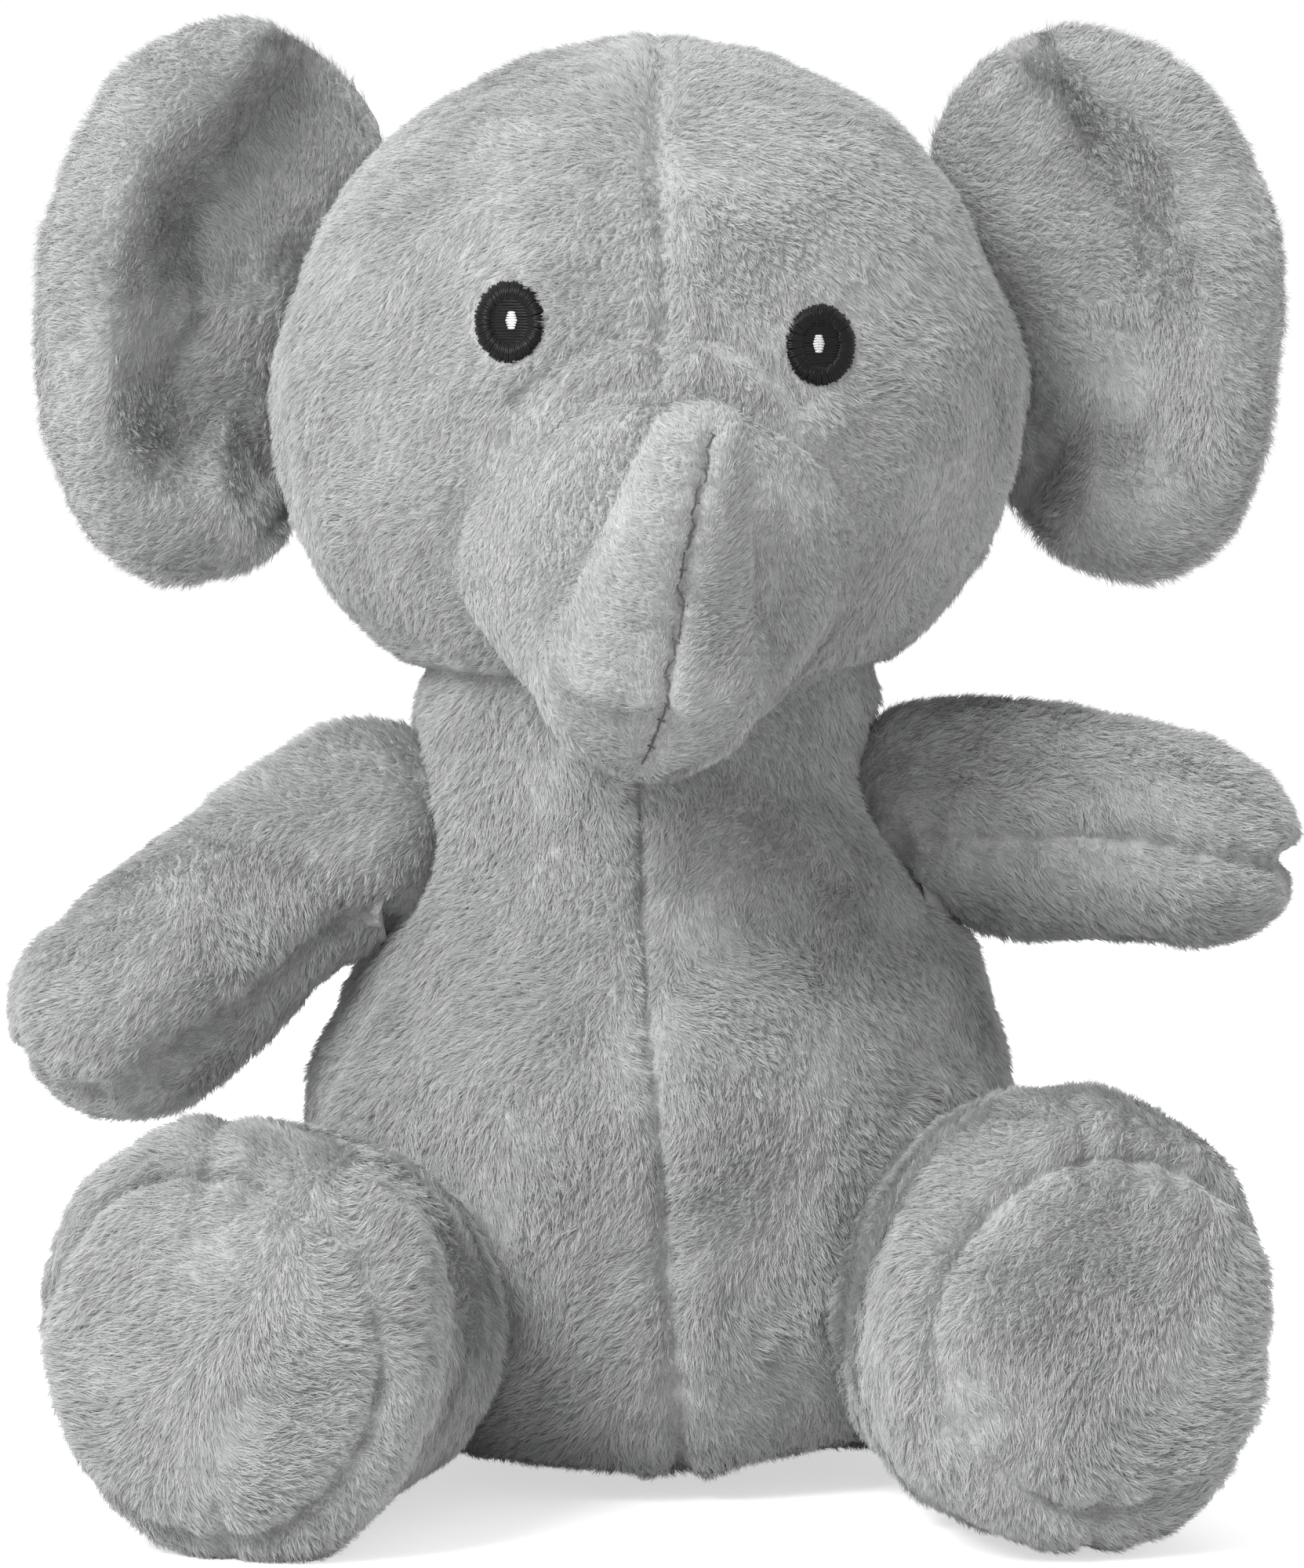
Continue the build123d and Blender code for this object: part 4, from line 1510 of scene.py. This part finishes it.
@dataclass
class CareLabel:
    """The blank folded tape sewn into the side seam near the seat."""

    tape: float = 0.35
    fold: float = 0.9  # how far each half bulges
    buried: float = -9.0  # where the tape's ends lie, from the seam
    out: float = 12.0  # where its fold starts
    flat: tuple[float, float] = (0.0, 0.0)

    def build(self, wardrobe: Wardrobe) -> bpy.types.Object:
        """Folds the tape into a flat loop whose ends go into the body, and notes its flat size."""
        low, high = span("care_label")
        centre = (low + high) / 2
        axis = np.array([0.0, joint_place("neck_turn")[1], centre[2]])
        out = unit((centre - axis) * [1, 1, 0])
        side = np.cross(UP, out)
        tall = high[2] - low[2]
        start, end = self.buried, self.out
        half = []
        for k in np.linspace(0, 1, 26):
            bulge = self.fold * math.sin(math.pi * min(k * 0.9 + 0.1, 1.0)) + 0.35
            half.append((start + (end - start) * k, bulge))
        bends = np.linspace(0.3, math.pi - 0.3, 7)
        turn = [(end + self.fold * math.sin(a), 0.39 * self.fold * math.cos(a)) for a in bends]
        loop = half + turn + [(r, -w) for r, w in half[::-1]]
        rows = []
        for t in np.linspace(-0.5, 0.5, 18):
            curl = 0.25 * math.sin(t * 6)
            rows.append([centre + out * r + side * (w + curl) + UP * (t * tall + 0.06 * r) for r, w in loop])
        grid = np.array(rows)
        points = grid.reshape(-1, 3)
        wide = grid.shape[1]
        corners = [a * wide + b for a in range(len(grid) - 1) for b in range(wide - 1)]
        faces = [(c, c + wide, c + wide + 1, c + 1) for c in corners]
        made = Form(points, faces).object("care_label_tape")
        solid = made.modifiers.new("thickness", "SOLIDIFY")
        solid.thickness = self.tape * MM
        made.data.materials.append(wardrobe.tape)
        length = float(np.linalg.norm(np.diff(grid[0], axis=0), axis=1).sum())
        self.flat = (tall * MM, length * MM)
        return made


# ---------------------------------------------------------------- studio


@dataclass
class Studio:
    """The pale floor, the soft lights and the camera."""

    eye: tuple[float, float, float] = (-0.00106, -1.2, 0.1892)
    pitch: float = -3.8141
    lens: float = 172.8
    floor_size: float = 12.0
    floor_drop: float = 0.0006
    ambient: float = 0.43
    aim: tuple[float, float, float] = (0.0, 0.0, 0.12)
    lights: tuple[tuple[str, tuple[float, float, float], float, float], ...] = (
        # name, place, side and power
        ("key", (-0.8, -0.95, 1.15), 0.75, 26.0),
        ("fill", (1.1, -1.3, 0.5), 1.4, 3.0),
        ("top", (0.1, 0.4, 1.5), 1.2, 6.0),
    )

    def build(self, wardrobe: Wardrobe) -> None:
        """Builds the floor, the lights, the sky and the camera."""
        scene = bpy.context.scene
        mesh = bpy.data.meshes.new("floor")
        half = self.floor_size / 2
        corners = [(-half, -half, 0), (half, -half, 0), (half, half, 0), (-half, half, 0)]
        mesh.from_pydata(corners, [], [(0, 1, 2, 3)])
        floor = bpy.data.objects.new("floor", mesh)
        floor.location.z = -self.floor_drop
        scene.collection.objects.link(floor)
        mesh.materials.append(wardrobe.floor)
        for name, place, size, power in self.lights:
            self.light(name, place, size, power)
        world = bpy.data.worlds.new("sky")
        world.use_nodes = True
        s = Shader(world.node_tree)
        seen = s.node("ShaderNodeLightPath").outputs["Is Camera Ray"]
        back = world.node_tree.nodes["Background"]
        back.inputs["Color"].default_value = (1, 1, 1, 1)
        s.give(back.inputs["Strength"], s.maths("MULTIPLY_ADD", seen, 1.0 - self.ambient, self.ambient))
        scene.world = world
        data = bpy.data.cameras.new("camera")
        data.sensor_fit = "AUTO"
        data.sensor_width = 36
        data.lens = self.lens
        camera = bpy.data.objects.new("camera", data)
        camera.location = self.eye
        camera.rotation_euler = (math.radians(90 + self.pitch), 0, 0)
        scene.collection.objects.link(camera)
        scene.camera = camera
        scene.view_settings.view_transform = "Standard"

    def light(self, name: str, place: tuple[float, float, float], size: float, power: float) -> None:
        """Adds a square soft light that faces the toy.

        Args:
            name: the light's name.
            place: where it stands, in metres.
            size: its side, in metres.
            power: its power, in watts.
        """
        data = bpy.data.lights.new(name, "AREA")
        data.size = size
        data.energy = power
        made = bpy.data.objects.new(name, data)
        made.location = place
        made.rotation_euler = (Vector(place) - Vector(self.aim)).to_track_quat("Z", "Y").to_euler()
        bpy.context.scene.collection.objects.link(made)


# ---------------------------------------------------------------- putting it together


@dataclass
class Elephant:
    """The whole toy."""

    wardrobe: Wardrobe

    eye_clearing: tuple[float, float] = (5.4, 6.1)  # half width and height of the pile-free patch

    def build(self) -> None:
        """Builds every skin, sews the details on and ties each to its body."""
        muzzle = MuzzleAndTrunk()
        makers: dict[str, Maker] = {"torso": Torso(), "head": Head(), "trunk": muzzle, "tail": Tail()}
        for side in Side:
            for key, kind in (("ear", Ear), ("arm", Arm), ("leg", Leg)):
                makers[f"{key}_{side.word}"] = kind(side)
        skins = {name: maker.build() for name, maker in makers.items()}
        for skin in skins.values():
            skin.sew()
        self.part(skins)
        for side in Side:
            centre = Eye(side).build(skins["head"].form, self.wardrobe)
            self.bare(skins["head"], centre)
        made = {name: skin.dress(self.wardrobe, makers[name].nap) for name, skin in skins.items()}
        stitches = TrunkStitches().build(muzzle.under_path, skins["trunk"].form, self.wardrobe)
        label_maker = CareLabel()
        label = label_maker.build(self.wardrobe)
        self.tie_middle(made, stitches)
        for side in Side:
            self.tie_side(made, side)
        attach(label, "torso")
        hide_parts("care_label")

    @staticmethod
    def part(skins: dict[str, PlushSkin]) -> None:
        """Clears the pile where skins run into each other, and draws their joints in."""
        trees = {name: skin.form.tree() for name, skin in skins.items()}
        near = {
            "torso": ["head", "arm_left", "arm_right", "leg_left", "leg_right", "trunk"],
            "head": ["torso", "trunk", "ear_left", "ear_right"],
            "trunk": ["head", "torso"],
        }
        for name, skin in skins.items():
            others = near.get(name, ["head"] if name.startswith("ear") else ["torso"])
            skin.clear([trees[other] for other in others])
            log.info("skin %s: %d points", name, len(skin.form.points))

    def bare(self, head: PlushSkin, centre: Array) -> None:
        """Leaves the pile off the head under an eye.

        Args:
            head: the head's skin.
            centre: the middle of the eye.
        """
        away = np.linalg.norm((head.form.points - centre)[:, [0, 2]] / self.eye_clearing, axis=1)
        front = head.form.points[:, 1] < 0
        head.pile *= np.where(front, smooth_step(away, 0.9, 1.2), 1.0)

    @staticmethod
    def tie_middle(made: dict[str, bpy.types.Object], stitches: bpy.types.Object) -> None:
        """Ties the torso, the head, the trunk and the tail, and hides the frame nodes they stand for.

        Args:
            made: the plush objects by part.
            stitches: the trunk's thread.
        """
        torso, head, trunk, tail = (made[name] for name in ("torso", "head", "trunk", "tail"))
        quarters = [f"{a}_{b}" for a in ("front", "back") for b in ("left", "right")]
        inner = ("seat_panel", "torso_filling", "pellet_bag", "neck_filling")
        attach(torso, "torso")
        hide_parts(*(f"torso_{q}" for q in quarters), *inner)
        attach(head, "head")
        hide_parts(*(f"head_{q}" for q in quarters), "head_filling")
        pieces = ("left_panel", "right_panel", "filling")
        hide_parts(*(f"{part}_{piece}" for part in ("muzzle", "trunk") for piece in pieces))
        bend = joint_place("trunk_bend") * MM
        for thing in (trunk, stitches):
            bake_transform(thing, "head", "trunk", start=bend + [0, 0.012, 0], end=bend + [0, -0.004, 0])
        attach(tail, "tail")
        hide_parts("tail")

    @staticmethod
    def tie_side(made: dict[str, bpy.types.Object], side: Side) -> None:
        """Ties one ear, arm and leg: each blends across its seam, from the body that holds it to its own.

        Args:
            made: the plush objects by part.
            side: the side.
        """
        word, sign = side.word, side.value
        for part, holder, joint, start, end, pieces in (
            (
                "ear", "head", "flap", (-sign * 0.006, 0, 0), (sign * 0.006, 0, 0),
                ("front", "back", "wadding"),
            ),
            (
                "arm", "torso", "raise", (-sign * 0.004, 0, 0), (sign * 0.012, 0, 0),
                ("upper", "lower", "filling"),
            ),
            (
                "leg", "torso", "lift", (0, 0.008, 0), (0, -0.018, 0),
                ("outer", "inner", "sole", "filling"),
            ),
        ):
            name = f"{part}_{word}"
            hinge = joint_place(f"{name}_{joint}") * MM
            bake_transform(made[name], holder, name, start=hinge + start, end=hinge + end)
            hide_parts(*(f"{name}_{piece}" for piece in pieces))


def main() -> None:
    """Builds the studio and the toy."""
    logging.basicConfig(level=logging.INFO, format="%(name)s: %(message)s")
    wardrobe = Wardrobe.filled()
    Studio().build(wardrobe)
    Elephant(wardrobe).build()


if __name__ == "__main__":
    main()
